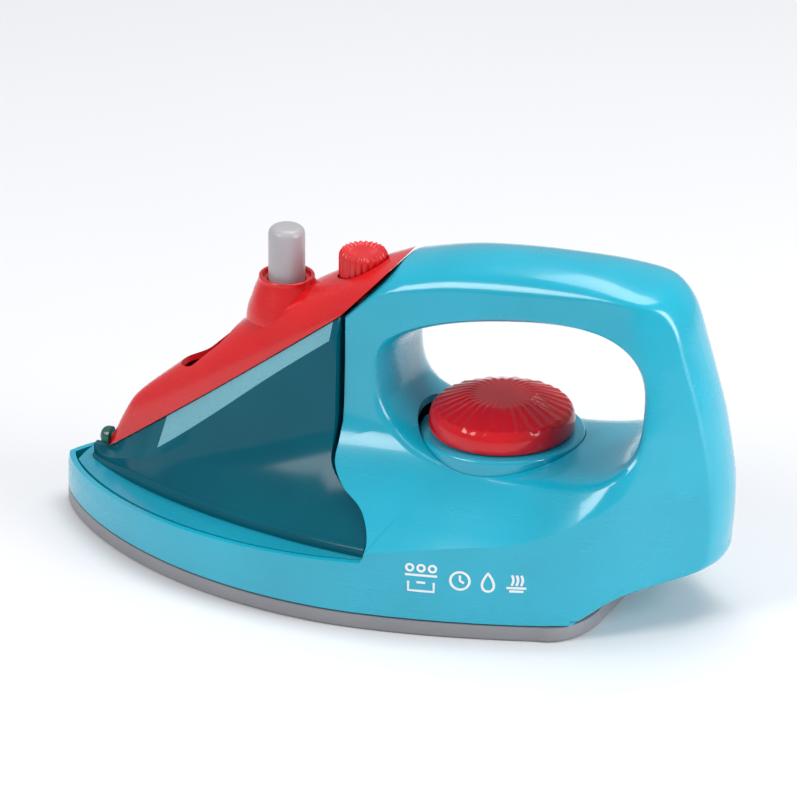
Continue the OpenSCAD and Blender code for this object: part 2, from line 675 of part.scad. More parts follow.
module collar_shape() {
    translate([pump_x, 0, 0]) {
        translate([0, 0, collar_foot_z]) hull() {
            cylinder(d = collar_foot_d, h = fit_gap, $fn = 48);
            translate([0, 0, collar_z - collar_foot_z - wall])
                cylinder(d = collar_rim_d + wall / 2, h = fit_gap, $fn = 48);
        }
        translate([0, 0, collar_z - wall]) cylinder(d = collar_rim_d, h = wall, $fn = 48);
        translate([0, 0, spigot_z])
            cylinder(d = barrel_d + 2 * wall, h = collar_z - spigot_z - wall, $fn = 48);
    }
}
module top_cover() {
    color([0.88, 0.1, 0.12]) from_nose() resize([0, 2 * edge_half(column_x), 0]) difference() {
        union() {
            cover_skin();
            difference() {
                collar_shape();
                translate([pump_x, 0, collar_foot_z - overrun])
                    cylinder(d = chamber_d, h = body_h, $fn = 48);
            }
            translate([button_x, 0, well_bottom_z])
                cylinder(r = flange_r, h = ridge_z(button_x - flange_r) - well_bottom_z, $fn = 48);
        }
        translate([pump_x, 0, spigot_z - overrun])
            cylinder(d = barrel_d + 2 * fit_gap, h = barrel_top_z + fit_gap - spigot_z + overrun, $fn = 48);
        translate([pump_x, 0, spigot_z]) cylinder(d = chamber_d, h = body_h, $fn = 48);
        translate([pump_x, 0, collar_z - cup_depth]) cylinder(d = collar_rim_d - wall, h = body_h, $fn = 48);
        translate([button_x, 0, well_bottom_z - overrun]) cylinder(d = well_d, h = body_h, $fn = 48);
        hull() for (s = [fill_start, fill_end]) translate([s * body_l, 0, ridge_z(s * body_l)])
            rotate([0, -fill_tilt, 0]) translate([0, 0, -6 * wall])
                cylinder(d = fill_w, h = 9 * wall, $fn = 32);
        nozzle_channel();
    }
}

// Round piece on the pump's axis, turned from a half profile of radius and height
module turned(x, profile) {
    translate([x, 0, 0]) rotate_extrude($fn = 64) polygon(profile);
}
// Quarter-round steps for the end of a rod: radius and height above the start of the round
function dome(r, h, z) = [for (a = [0:15:90]) [r - h * (1 - cos(a)), z + h * sin(a)]];

module spray_plunger() {
    r = plunger_d / 2;
    groove = r - seal_h / 2;
    color([0.68, 0.66, 0.68]) from_nose() turned(pump_x, concat(
        [[0, plunger_end_z], [r - fit_gap, plunger_end_z], [r, plunger_end_z + fit_gap]],
        [[r, seal_z], [groove, seal_z], [groove, seal_z + seal_h], [r, seal_z + seal_h]],
        dome(r, 0.55 * r, plunger_top_z - 0.55 * r),
        [[0, plunger_top_z]]
    ));
}
module piston_seal() {
    groove = plunger_d / 2 - seal_h / 2 + pilot_gap;
    lip = chamber_d / 2 - pilot_gap;
    low = seal_z + pilot_gap;
    high = seal_z + seal_h - pilot_gap;
    color([0.12, 0.12, 0.13]) from_nose() turned(pump_x, [
        [groove, low], [lip - fit_gap, low], [lip, mix(low, high, 0.3)],
        [lip, mix(low, high, 0.7)], [lip - fit_gap, high], [groove, high]
    ]);
}
module pump_barrel() {
    color([0.9, 0.92, 0.93, 0.8]) from_nose() difference() {
        union() {
            turned(pump_x, [
                [0, barrel_floor_z], [barrel_d / 2, barrel_floor_z],
                [barrel_d / 2, barrel_top_z], [0, barrel_top_z]
            ]);
            translate([pump_x - barrel_d / 2 - outlet_reach, 0, outlet_z]) rotate([0, 90, 0])
                cylinder(d = tube_d, h = barrel_d / 2, $fn = 32);
        }
        translate([pump_x, 0, spring_z])
            cylinder(d = chamber_d, h = barrel_top_z - spring_z + overrun, $fn = 48);
        translate([pump_x, 0, cage_z]) cylinder(d = cage_d, h = cage_h + overrun, $fn = 32);
        translate([pump_x, 0, barrel_floor_z - overrun])
            cylinder(d = tube_bore, h = barrel_floor_t + 2 * overrun, $fn = 32);
        translate([pump_x, 0, barrel_floor_z - overrun])
            cylinder(d = tube_d + 2 * pilot_gap, h = barrel_floor_t / 2 + overrun, $fn = 32);
        translate([pump_x - barrel_d / 2 - outlet_reach - overrun, 0, outlet_z]) rotate([0, 90, 0])
            cylinder(d = tube_bore, h = barrel_d / 2 + outlet_reach + overrun, $fn = 32);
    }
}
module inlet_ball() {
    color([0.75, 0.75, 0.77]) from_nose()
        translate([pump_x, 0, cage_z + ball_d / 2 + pilot_gap]) sphere(d = ball_d, $fn = 32);
}
tube_end_z = deck_top(pump_x) + 2 * tank_wall;
module suction_tube() {
    color([0.92, 0.94, 0.95, 0.7]) from_nose() translate([pump_x, 0, tube_end_z]) difference() {
        cylinder(d = tube_d, h = barrel_floor_z + barrel_floor_t / 2 - tube_end_z - pilot_gap, $fn = 32);
        translate([0, 0, -overrun]) cylinder(d = tube_bore, h = barrel_floor_z, $fn = 32);
    }
}

// Hollow or solid tube swept along a path, with a ring of corners at each point
function direction(p, i) =
    let (d = p[min(i + 1, len(p) - 1)] - p[max(i - 1, 0)]) d / norm(d);
function ring(p, i, r, sides, side_way) =
    let (t = direction(p, i), u = cross(t, side_way) / norm(cross(t, side_way)), v = cross(t, u))
    [for (k = [0:sides - 1]) p[i] + r * (cos(360 * k / sides) * u + sin(360 * k / sides) * v)];
module swept(p, r, sides, side_way) {
    n = len(p);
    skin = [
        for (i = [0:n - 2]) for (k = [0:sides - 1])
            let (a = i * sides + k, b = i * sides + (k + 1) % sides)
            each [[a, a + sides, b + sides], [a, b + sides, b]]
    ];
    ends = [
        for (k = [1:sides - 2]) [0, k, k + 1],
        for (k = [1:sides - 2]) [(n - 1) * sides, (n - 1) * sides + k + 1, (n - 1) * sides + k]
    ];
    polyhedron([for (i = [0:n - 1]) each ring(p, i, r, sides, side_way)], concat(skin, ends));
}
hose_shares = [
    [0.09, 0.203], [0.107, 0.204], [0.133, 0.226], [0.163, 0.266],
    [0.204, 0.316], [0.238, 0.372], [0.262, 0.402]
];
hose_tail = [pump_x - barrel_d / 2 - outlet_reach - 1.5 * fit_gap, outlet_z];
hose_route = smooth(
    concat([for (s = hose_shares) [s[0] * body_l, s[1] * body_h]], [hose_tail]), 3
);
module delivery_hose() {
    color([0.92, 0.94, 0.95, 0.7]) from_nose()
        swept([for (p = hose_route) [p[0], 0, p[1]]], tube_d / 2, 8, [0, 1, 0]);
}
module spray_nozzle() {
    r = nozzle_d / 2;
    color([0.05, 0.42, 0.34]) from_nose() translate([tip_x - pilot_gap, 0, nozzle_z]) {
        rotate([0, -90, 0]) rotate_extrude($fn = 48)
            polygon(concat([[0, 0], [r, 0]], dome(r, 0.8 * r, 0.35 * r), [[0, 1.15 * r]]));
        rotate([0, 90, 0]) translate([0, 0, -r / 2])
            cylinder(d = spigot_d, h = hose_start_x - tip_x + r / 2 - fit_gap, $fn = 32);
    }
}

// Spring of even curls standing on z0, as one unbroken tube
curl_steps = 8;
function coil(x, z0, z1, r, curls) = [
    for (k = [0:curls * curl_steps])
        let (a = 360 * k / curl_steps)
        [x + r * cos(a), r * sin(a), mix(z0, z1, k / (curls * curl_steps))]
];
plunger_curls = 5;
plunger_spring_d = chamber_d - 3 * spring_wire;
module plunger_spring() {
    low = spring_z + spring_wire / 2 + pilot_gap;
    high = plunger_end_z - spring_wire / 2 - pilot_gap;
    path = coil(pump_x, low, high, plunger_spring_d / 2, plunger_curls);
    gap = (high - low) / plunger_curls - spring_wire;
    echo("least gap between pump spring curls", gap);
    color([0.75, 0.75, 0.77]) from_nose() swept(path, spring_wire / 2, 6, [0, 0, 1]);
}

// Sound button with its stem set back into the hollow column
stem_d = 4;
stem_x = button_x + flange_r - stem_d / 2 - fit_gap;
guide_t = 1.2;
guide_z = 0.673 * body_h;
switch_h = 3.6;
tip_h = 1;
switch_tip_z = guide_z - guide_t - 2 * fit_gap;
switch_z = switch_tip_z - switch_h - tip_h;
stem_end_z = switch_tip_z + sound_travel + run_gap;
rib_count = 24;
rib_d = 0.9;
rib_h = 6;
grip_round = 1.2;
grip_rim = 2.4;
grip_dish = 0.3;
module sound_button() {
    r = button_d / 2 - rib_d / 3;
    top = button_top_z - fit_gap;
    color([0.85, 0.07, 0.09]) from_nose() {
        turned(button_x, concat(
            [[0, flange_z - flange_t], [flange_r, flange_z - flange_t], [flange_r, flange_z], [r, flange_z]],
            dome(r, grip_round, top - grip_round),
            [[r - grip_rim, top], [r - grip_rim - grip_dish, top - 2 * grip_dish], [0, top - grip_dish]]
        ));
        for (k = [0:rib_count - 1]) translate([button_x, 0, button_top_z - grip_round - rib_h])
            rotate(360 * k / rib_count) translate([r, 0, 0]) cylinder(d = rib_d, h = rib_h, $fn = 16);
        translate([stem_x, 0, stem_end_z])
            cylinder(d = stem_d, h = flange_z - flange_t / 2 - stem_end_z, $fn = 32);
    }
}
button_wire = 0.6;
button_curls = 4;
button_spring_d = stem_d + 3 * button_wire + fit_gap;
module button_spring() {
    low = guide_z + guide_t + button_wire / 2 + pilot_gap;
    high = flange_z - flange_t - button_wire / 2 - pilot_gap;
    echo("least gap between button spring curls", (high - low) / button_curls - button_wire);
    color([0.75, 0.75, 0.77]) from_nose()
        swept(coil(stem_x, low, high, button_spring_d / 2, button_curls), button_wire / 2, 6, [0, 0, 1]);
}
bracket_x = column_x + wall + 2 * fit_gap;
bracket_l = window_x - window_reach - column_x - 2 * wall - 6 * fit_gap;
bracket_half = grip_half(guide_z) - wall - 2 * fit_gap;
cheek_half = 7.2;
bracket_foot_z = switch_z - board_t - guide_t;
module button_bracket() {
    color([0.9, 0.9, 0.88]) from_nose() translate([bracket_x, 0, 0]) difference() {
        union() {
            translate([0, -cheek_half, guide_z]) cube([bracket_l, 2 * cheek_half, guide_t]);
            translate([0, -bracket_half, guide_z]) cube([bracket_l / 2, 2 * bracket_half, guide_t]);
            for (side = [-1, 1]) translate([0, side * cheek_half - guide_t / 2, bracket_foot_z])
                cube([bracket_l, guide_t, guide_z - bracket_foot_z + guide_t / 2]);
            translate([0, -cheek_half, bracket_foot_z]) cube([bracket_l, 2 * cheek_half, guide_t]);
        }
        translate([stem_x - bracket_x, 0, guide_z - overrun])
            cylinder(d = stem_d + 2 * run_gap, h = guide_t + 2 * overrun, $fn = 32);
    }
}
switch_w = 6;
module tact_switch() {
    base = bracket_foot_z + guide_t;
    inner = 2 * (cheek_half - guide_t / 2 - fit_gap);
    color([0.15, 0.15, 0.16]) from_nose() translate([stem_x, 0, base]) {
        translate([bracket_x - stem_x, -inner / 2, 0]) cube([bracket_l, inner, board_t]);
        translate([-switch_w / 2, -switch_w / 2, board_t]) cube([switch_w, switch_w, switch_h]);
        translate([0, 0, board_t + switch_h])
            cylinder(d = stem_d - run_gap, h = switch_tip_z - base - board_t - switch_h, $fn = 32);
    }
}

// Seat of the dial: a raised cup set into the shells, with the shaft's bearing and a lamp hole
seat_plate = 2;
seat_wall = 1.6;
bore_gap = 0.08;
lamp_d = 5;
lamp_offset = 12;
seat_round = 1;
module dial_seat() {
    r = seat_d / 2;
    color([0.14, 0.66, 0.78]) from_nose() difference() {
        turned(dial_x, [
            [0, seat_z - seat_plate], [r - seat_wall, seat_z - seat_plate],
            [r - seat_wall, seat_z - seat_skirt], [r, seat_z - seat_skirt],
            [r, seat_z - seat_round], [r - seat_round, seat_z], [0, seat_z]
        ]);
        translate([dial_x, 0, seat_z - 2 * seat_plate])
            cylinder(d = shaft_d + 2 * bore_gap, h = 3 * seat_plate, $fn = 48);
        translate([dial_x, lamp_offset, seat_z - 2 * seat_plate])
            cylinder(d = lamp_d + 2 * fit_gap, h = 3 * seat_plate, $fn = 32);
    }
}

// Dial: a domed knob with a ring of sloping facets, hollow below, on a shaft
dial_base_z = seat_z + run_gap;
dial_wall = 2.2;
facet_in_share = 0.5;
facet_tilt = 22;
shaft_reach = 10;
shaft_end_z = seat_z - seat_plate - shaft_reach;
clip_h = 1.2;
clip_d = 1.9 * shaft_d;
clip_z = seat_z - seat_plate - run_gap - clip_h;
clip_groove = 0.5;
dial_profile_shares = [
    [0.96, 0], [0.99, 0.06], [1, 0.2], [0.992, 0.4], [0.965, 0.56], [0.92, 0.68], [0.85, 0.77],
    [0.8, 0.8], [0.5, 0.99], [0.46, 1], [0, 1]
];
module dial() {
    r = dial_d / 2;
    top_z = dial_base_z + dial_h;
    color([0.8, 0.03, 0.08, 0.8]) from_nose() {
        difference() {
            turned(dial_x, concat(
                [[0, dial_base_z]],
                [for (s = dial_profile_shares) [s[0] * r, dial_base_z + s[1] * dial_h]]
            ));
            turned(dial_x, [
                [shaft_d, dial_base_z - overrun], [r - dial_wall, dial_base_z - overrun],
                [r - dial_wall, dial_base_z + dial_h / 2 - dial_wall],
                [shaft_d, dial_base_z + dial_h - 2 * dial_wall]
            ]);
            for (k = [0:dial_facets - 1]) translate([dial_x, 0, top_z])
                rotate(360 * k / dial_facets) translate([facet_in_share * r, 0, 0])
                rotate([0, facet_tilt, 0]) translate([-dial_wall / 4, -r / 2, 0])
                cube([r, r, dial_h]);
        }
        difference() {
            translate([dial_x, 0, shaft_end_z])
                cylinder(d = shaft_d, h = dial_base_z - shaft_end_z + dial_h / 3, $fn = 48);
            turned(dial_x, [
                [shaft_d / 2 - clip_groove, clip_z], [shaft_d, clip_z],
                [shaft_d, clip_z + clip_h], [shaft_d / 2 - clip_groove, clip_z + clip_h]
            ]);
        }
    }
}
module dial_clip() {
    color([0.78, 0.78, 0.8]) from_nose() difference() {
        translate([dial_x, 0, clip_z + pilot_gap]) cylinder(d = clip_d, h = clip_h - 2 * pilot_gap, $fn = 48);
        translate([dial_x, 0, clip_z - overrun])
            cylinder(d = shaft_d - 2 * clip_groove + 2 * pilot_gap, h = clip_h + 2 * overrun, $fn = 48);
        translate([dial_x, -shaft_d / 2 + clip_groove, clip_z - overrun])
            cube([clip_d, shaft_d - 2 * clip_groove, clip_h + 2 * overrun]);
    }
}
leaf_t = 0.5;
leaf_w = 5;
leaf_place = clip_d / 2 + 2 * run_gap;
foot_l = 4;
module detent_spring() {
    leaf_l = seat_z - seat_plate - shaft_end_z - fit_gap;
    nub_z = shaft_end_z + leaf_w / 2;
    color([0.75, 0.72, 0.6]) from_nose() translate([dial_x - leaf_w / 2, -leaf_place - leaf_t, 0]) {
        translate([0, 0, shaft_end_z]) cube([leaf_w, leaf_t, leaf_l - pilot_gap]);
        translate([0, -foot_l, seat_z - seat_plate - leaf_t - pilot_gap])
            cube([leaf_w, foot_l + leaf_t / 2, leaf_t]);
        translate([0, leaf_t / 2, nub_z]) cube([leaf_w, leaf_place - shaft_d / 2 - run_gap, leaf_t]);
    }
}
board_rise = 2;
board_z = box_top_z + box_wall + board_rise;
board_l = 36;
board_w = 34;
board_x = dial_x - 0.55 * board_l;
lamp_top_z = seat_z - fit_gap;
lead_d = 0.6;
module dial_lamp() {
    flange = seat_z - seat_plate - fit_gap - guide_t;
    color([0.9, 0.2, 0.15, 0.8]) from_nose() translate([dial_x, lamp_offset, 0]) {
        translate([0, 0, flange]) cylinder(d = lamp_d + 2 * fit_gap + guide_t, h = guide_t, $fn = 32);
        translate([0, 0, flange]) cylinder(d = lamp_d, h = lamp_top_z - lamp_d / 3 - flange, $fn = 32);
        translate([0, 0, lamp_top_z - lamp_d / 3 - fit_gap])
            cylinder(d = 0.8 * lamp_d, h = lamp_d / 3, $fn = 32);
        for (side = [-1, 1]) translate([side * lamp_d / 4, 0, board_z + board_t + pilot_gap])
            cylinder(d = lead_d, h = flange - board_z - board_t, $fn = 16);
    }
}
standoff_d = 4;
standoff_places = [
    for (a = [0.12, 0.88]) for (b = [-0.36, 0.36]) [board_x + a * board_l, b * board_w]
];
module main_board() {
    color([0.08, 0.4, 0.2]) from_nose() difference() {
        translate([board_x, -board_w / 2, board_z]) cube([board_l, board_w, board_t]);
        for (p = standoff_places) translate([p[0], p[1], board_z - overrun])
            cylinder(d = standoff_d / 2 + 2 * pilot_gap, h = board_t + 2 * overrun, $fn = 24);
    }
}
chip_w = 9;
chip_t = 2;
module sound_chip() {
    color([0.1, 0.1, 0.1]) from_nose() translate([board_x + board_l / 4, -chip_w / 2, board_z + board_t])
        cube([chip_w, chip_w, chip_t]);
}
module speaker() {
    r = speaker_d / 2;
    z0 = sole_floor;
    cone = speaker_h / 3;
    rim = r - speaker_h / 2.5;
    color([0.2, 0.2, 0.22]) from_nose() turned(speaker_x, [
        [0, z0 + cone], [r / 3, z0 + cone], [rim, z0 + cone / 2], [rim, z0], [r, z0],
        [r, z0 + cone], [r * 0.6, z0 + 2 * cone], [r * 0.6, z0 + speaker_h], [0, z0 + speaker_h]
    ]);
}

// Battery compartment with two cells side by side
box_post_z = pad_top_z + fit_gap;
module battery_box() {
    color([0.88, 0.88, 0.86]) from_nose() difference() {
        union() {
            translate([box_mid_x - box_in_w / 2 - box_wall, -box_in_l / 2 - box_wall, sole_floor])
                cube([box_in_w + 2 * box_wall, box_in_l + 2 * box_wall, box_top_z + box_wall - sole_floor]);
            translate([door_screw_x, 0, box_post_z]) cylinder(d = post_d, h = 3 * screw_d, $fn = 48);
            translate([box_mid_x, -post_d / 2, box_post_z])
                cube([door_screw_x - box_mid_x, post_d, 3 * screw_d]);
            for (p = standoff_places) translate([p[0], p[1], box_top_z]) {
                cylinder(d = standoff_d, h = board_z - box_top_z, $fn = 32);
                cylinder(d = standoff_d / 2, h = board_z + board_t - box_top_z, $fn = 24);
            }
        }
        translate([box_mid_x - box_in_w / 2, -box_in_l / 2, sole_floor - overrun])
            cube([box_in_w, box_in_l, box_top_z - sole_floor + overrun]);
        translate([door_screw_x, 0, box_post_z - overrun])
            cylinder(d = screw_d + 2 * pilot_gap, h = 2.2 * screw_d + overrun, $fn = 24);
    }
}
module each_cell() {
    for (side = [-1, 1])
        translate([box_mid_x + side * (cell_d + fit_gap) / 2, -side * cell_l / 2, cell_z])
        rotate(side * 90) children();
}
tip_d_share = 0.38;
tip_l = 1.2;
module batteries() {
    color([0.2, 0.22, 0.25]) from_nose() each_cell() rotate([0, 90, 0]) {
        cylinder(d = cell_d, h = cell_l - tip_l, $fn = 64);
        cylinder(d = tip_d_share * cell_d, h = cell_l, $fn = 32);
    }
}
contact_t = 0.5;
module battery_contacts() {
    span = 0.7 * cell_d;
    color([0.78, 0.76, 0.7]) from_nose() each_cell() {
        translate([-contact_room + pilot_gap, -span / 2, -span / 2]) cube([contact_t, span, span]);
        translate([-contact_room + pilot_gap, 0, 0]) rotate([0, 90, 0])
            cylinder(d = span / 2, h = contact_room - 2 * pilot_gap, $fn = 32);
        translate([cell_l + contact_room - contact_t - pilot_gap, -span / 2, -span / 2])
            cube([contact_t, span, span]);
        translate([cell_l + pilot_gap, 0, 0]) rotate([0, 90, 0])
            cylinder(d = span / 3, h = contact_room - 2 * pilot_gap, $fn = 32);
    }
}
module battery_door() {
    color([0.7, 0.7, 0.71]) from_nose() difference() {
        union() {
            door_shape(fit_gap, door_sink, sole_floor - pilot_gap);
            translate([door_screw_x, 0, door_sink]) cylinder(d = pad_d, h = pad_top_z - door_sink, $fn = 48);
        }
        screw_hole([door_screw_x, 0]);
    }
}

// Screw pointing up, its head's underside at the origin, with a cross recess below
module screw(shank) {
    difference() {
        union() {
            translate([0, 0, -head_t]) cylinder(d = head_d, h = head_t, $fn = 32);
            cylinder(d = screw_d, h = shank, $fn = 32);
        }
        for (a = [0, 90]) rotate(a) translate([-head_d / 3, -screw_d / 8, -head_t - overrun])
            cube([head_d / 1.5, screw_d / 4, overrun + head_t / 2]);
    }
}
module door_screw() {
    color([0.7, 0.7, 0.72]) from_nose()
        translate([door_screw_x, 0, screw_seat_z - pilot_gap]) screw(2.6 * screw_d);
}
module sole_screws() {
    color([0.7, 0.7, 0.72]) from_nose() for (p = sole_screw_places)
        translate([p[0], p[1], screw_seat_z - pilot_gap]) screw(2.2 * screw_d);
}
module shell_screws() {
    color([0.7, 0.7, 0.72]) from_nose() for (p = boss_places) {
        seat = boss_reach(p) - head_sink - head_t + pilot_gap;
        translate([p[0], seat, p[1]]) rotate([90, 0, 0]) screw(seat + screw_bite - overrun);
    }
}

soleplate();
left_shell();
right_shell();
tank_deck();
water_tank();
top_cover();
spray_plunger();
piston_seal();
plunger_spring();
pump_barrel();
inlet_ball();
suction_tube();
delivery_hose();
spray_nozzle();
sound_button();
button_spring();
button_bracket();
tact_switch();
dial_seat();
dial();
dial_clip();
detent_spring();
dial_lamp();
main_board();
sound_chip();
speaker();
battery_box();
batteries();
battery_contacts();
battery_door();
door_screw();
shell_screws();
sole_screws();
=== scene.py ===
import math

import bmesh
import bpy
import numpy as np
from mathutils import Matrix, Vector


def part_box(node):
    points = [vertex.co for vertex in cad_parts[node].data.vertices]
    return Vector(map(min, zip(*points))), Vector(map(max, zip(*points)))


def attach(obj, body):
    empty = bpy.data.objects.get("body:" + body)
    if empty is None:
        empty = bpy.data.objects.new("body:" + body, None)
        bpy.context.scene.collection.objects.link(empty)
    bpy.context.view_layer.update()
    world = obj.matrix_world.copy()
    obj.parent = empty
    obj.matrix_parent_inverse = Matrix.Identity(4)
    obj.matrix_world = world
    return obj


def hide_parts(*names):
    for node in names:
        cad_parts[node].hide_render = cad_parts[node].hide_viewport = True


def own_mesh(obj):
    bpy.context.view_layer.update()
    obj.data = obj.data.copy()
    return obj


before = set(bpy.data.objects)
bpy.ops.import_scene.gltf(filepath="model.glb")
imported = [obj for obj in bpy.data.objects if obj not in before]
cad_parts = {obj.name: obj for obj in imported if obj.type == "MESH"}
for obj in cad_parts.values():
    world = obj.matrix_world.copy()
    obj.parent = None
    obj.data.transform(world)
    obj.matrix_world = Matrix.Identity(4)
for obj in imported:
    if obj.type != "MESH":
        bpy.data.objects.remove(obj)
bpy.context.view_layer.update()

# Two shells of gloss turquoise plastic, moulded with the handle's loop, the hollow column and
# the heel in one. They meet on the middle line and four sunk screws from one side close them.
body_length = 0.196
half_width = 0.0485
body_height = 0.0996
nose_x = -body_length / 2
shell_wall = 0.002
sole_height = 0.0043
skirt_bottom = 0.0048
skirt_nose_top = 0.0135
skirt_rear_top = 0.0193
widest_x = 0.485 * body_length
bow_power = 0.754
stern_narrowing = 0.61
stern_power = 1.7
wall_draft = 0.03
shoulder_power = 1.8
heel_x = 0.838 * body_length
column_x = 0.449 * body_length
junction_x = 0.515 * body_length
tank_rear_x = 0.543 * body_length
window_mid = np.array([0.7 * body_length, 0.0607])
window_reach = 0.0363
window_rise = 0.0187
window_round = 0.004
window_power = 3
window_tilt = 0.15
fixed_gap = 0.0002
running_gap = 0.0003
turquoise = (0.004, 0.39, 0.54)


def plan_half(x):
    """Half the width of the body seen from above, at a distance behind the nose."""
    if x <= widest_x:
        return half_width * max(1 - (1 - max(x, 0) / widest_x) ** 2, 0) ** bow_power
    return half_width * (1 - stern_narrowing * ((x - widest_x) / (body_length - widest_x)) ** stern_power)


def skirt_top(x):
    """Height of the skirt's upper edge beside the tank."""
    return skirt_nose_top + (skirt_rear_top - skirt_nose_top) * x / tank_rear_x


def looked_up(value, table):
    """A value read off a curve's rows of place and size."""
    return float(np.interp(value, [row[0] for row in table], [row[1] for row in table]))


grip_shares = [(0.3, 0.46), (0.45, 0.37), (0.6, 0.345), (0.75, 0.33), (0.9, 0.29), (1.02, 0.27)]
crease_shares = [
    (0.45, 0.205), (0.54, 0.222), (0.66, 0.26), (0.755, 0.285), (0.825, 0.337),
    (0.87, 0.39), (0.91, 0.46), (0.94, 0.56), (0.96, 0.66), (0.98, 0.76), (1, 0.8),
]
scoop_shares = [
    (0.45, 0.47), (0.54, 0.47), (0.66, 0.46), (0.755, 0.48), (0.825, 0.56),
    (0.87, 0.66), (0.91, 0.78), (0.94, 0.87), (1, 0.98),
]


def through_points(points, steps):
    """A smooth curve through given points, as a list of points."""
    points = [np.array(p, float) for p in points]
    last = len(points) - 1
    line = []
    for i in range(last):
        a, b = points[max(i - 1, 0)], points[i]
        c, d = points[i + 1], points[min(i + 2, last)]
        square, cube = 2 * a - 5 * b + 4 * c - d, 3 * b - a - 3 * c + d
        for t in np.arange(steps) / steps:
            line.append(b + t * ((c - a) + t * (square + t * cube)) / 2)
    return line + [points[last]]


crease_line = np.array(through_points(crease_shares, 8))
scoop_line = np.array(through_points(scoop_shares, 8))
grip_line = np.array(through_points(grip_shares, 8))
rear_shares = [
    (0.1, 0.985), (0.22, 0.987), (0.38, 0.991), (0.57, 0.977), (0.75, 0.952), (0.87, 0.933), (1, 0.905),
]
stern_shares = (0.165, 0.62, 0.58)
stern_blend = 10


def body_half(x, z):
    """Half the thickness of the shells: the wall below the crease, the scooped shoulder, then the grip."""
    wide = plan_half(x) - wall_draft * (z - skirt_bottom)
    grip = half_width * looked_up(z / body_height, grip_line)
    low = body_height * looked_up(x / body_length, crease_line)
    high = body_height * looked_up(x / body_length, scoop_line)
    up = min(max((z - low) / (high - low), 0), 1)
    side = wide if wide <= grip else grip + (wide - grip) * (1 - up) ** shoulder_power
    ahead = max(body_length * looked_up(z / body_height, rear_shares) - x, 0) / half_width
    back = half_width * (stern_shares[0] + stern_shares[1] * ahead + stern_shares[2] * ahead ** 2)
    return (side ** -stern_blend + back ** -stern_blend) ** (-1 / stern_blend)


handle_shares = [
    (0.515, 0.898, 0.13), (0.6, 0.942, 0.14), (0.7, 0.965, 0.14), (0.8, 0.968, 0.13),
    (0.865, 0.953, 0.1), (0.908, 0.928, 0.07), (0.933, 0.87, 0.05), (0.952, 0.75, 0.05),
    (0.977, 0.57, 0.05), (0.991, 0.38, 0.05), (0.987, 0.22, 0.05), (0.972, 0.152, 0.045),
    (0.885, 0.1, 0.045),
]
throat_shares = [
    (0.543, 0.23, 0.031), (0.515, 0.284, 0.031), (0.477, 0.319, 0.031), (0.453, 0.361, 0.031),
    (0.449, 0.41, 0.031),
]
edge_round = 0.0015
junction_round = 0.13 * half_width
brow_z = 0.761 * body_height
junction_z = 0.898 * body_height


def mix(a, b, share):
    return a + (b - a) * share


def shell_outline():
    """The side outline as rows of length, height, edge rounding and whether the row is open below."""
    sized = [(x * body_length, z * body_height, r * half_width) for x, z, r in handle_shares]
    top = through_points(sized + [(heel_x, skirt_bottom, edge_round)], 9)
    floor = [(mix(heel_x - shell_wall, tank_rear_x, k / 7), skirt_bottom, edge_round) for k in range(8)]
    front = [(tank_rear_x, mix(skirt_bottom, skirt_rear_top, k / 4), edge_round) for k in range(1, 5)]
    throat = through_points(
        [(tank_rear_x + fixed_gap, skirt_rear_top + fixed_gap, edge_round)]
        + [(x * body_length, z * body_height, r * half_width) for x, z, r in throat_shares], 6)
    throat_top = throat_shares[-1][1] * body_height
    brow = [(column_x, mix(throat_top, brow_z, k / 8), edge_round) for k in range(1, 9)]
    for share in [k / 6 for k in range(1, 6)]:
        rounding = mix(edge_round, junction_round, share ** 3)
        brow.append((mix(column_x, junction_x, share), mix(brow_z, junction_z, share), rounding))
    rows = [(*row, False) for row in top] + [(*row, True) for row in floor + front]
    rows += [(*row, False) for row in throat[1:] + brow]
    return rows, len(top) + len(floor) - 1


def window_edge(away):
    """Where a line from the middle of the finger window meets its edge."""
    share_x, share_z = abs(away[0]) / window_reach, abs(away[1]) / window_rise
    r = 1 / (share_x ** window_power + share_z ** window_power) ** (1 / window_power)
    x, z = r * away[0], r * away[1]
    return window_mid + np.array([x, z + window_tilt * x * max(z / window_rise, 0)])


wall_share = 0.4


def over_the_wall(start, way, first, last, steps):
    """Places along a line over the shell, with one of them right on the crease where the line crosses it."""
    def above(along):
        x, z = start + way * along
        return z - body_height * looked_up(x / body_length, crease_line)

    if above(first) >= 0 or above(last) <= 0:
        return [mix(first, last, k / steps) for k in range(1, steps)]
    low, high = first, last
    for _ in range(24):
        middle = (low + high) / 2
        low, high = (middle, high) if above(middle) < 0 else (low, middle)
    lower = int(wall_share * steps)
    return [mix(first, low, k / lower) for k in range(1, lower + 1)] + [
        mix(low, last, (k / (steps - lower)) ** 1.15) for k in range(1, steps - lower)]


def shell_row(point, open_below, inset, arc_steps, steps):
    """Points from the outline to the finger window, over the outside of a shell or inside its wall."""
    start = np.array(point[:2])
    away = (start - window_mid) / np.linalg.norm(start - window_mid)
    end = window_edge(away)
    span = float(np.linalg.norm(end - start))
    way = (end - start) / span
    near = max(min(point[2], 0.45 * span) - inset, 0.1 * shell_wall)
    far = max(min(window_round, 0.45 * span) - inset, 0.1 * shell_wall)
    first = 0 if open_below else inset
    turns = [math.radians(90 * k / arc_steps) for k in range(arc_steps + 1)]
    places = [(first + near * (1 - math.cos(t)), 1 if open_below else math.sin(t)) for t in turns]
    places += [(along, 1) for along in over_the_wall(start, way, first + near, span - inset - far, steps)]
    places += [(span - inset - far * (1 - math.cos(t)), math.sin(t)) for t in reversed(turns)]
    row = []
    for along, share in places:
        x, z = start + way * along
        row.append((x, (body_half(x, z) - inset) * share, z))
    return row


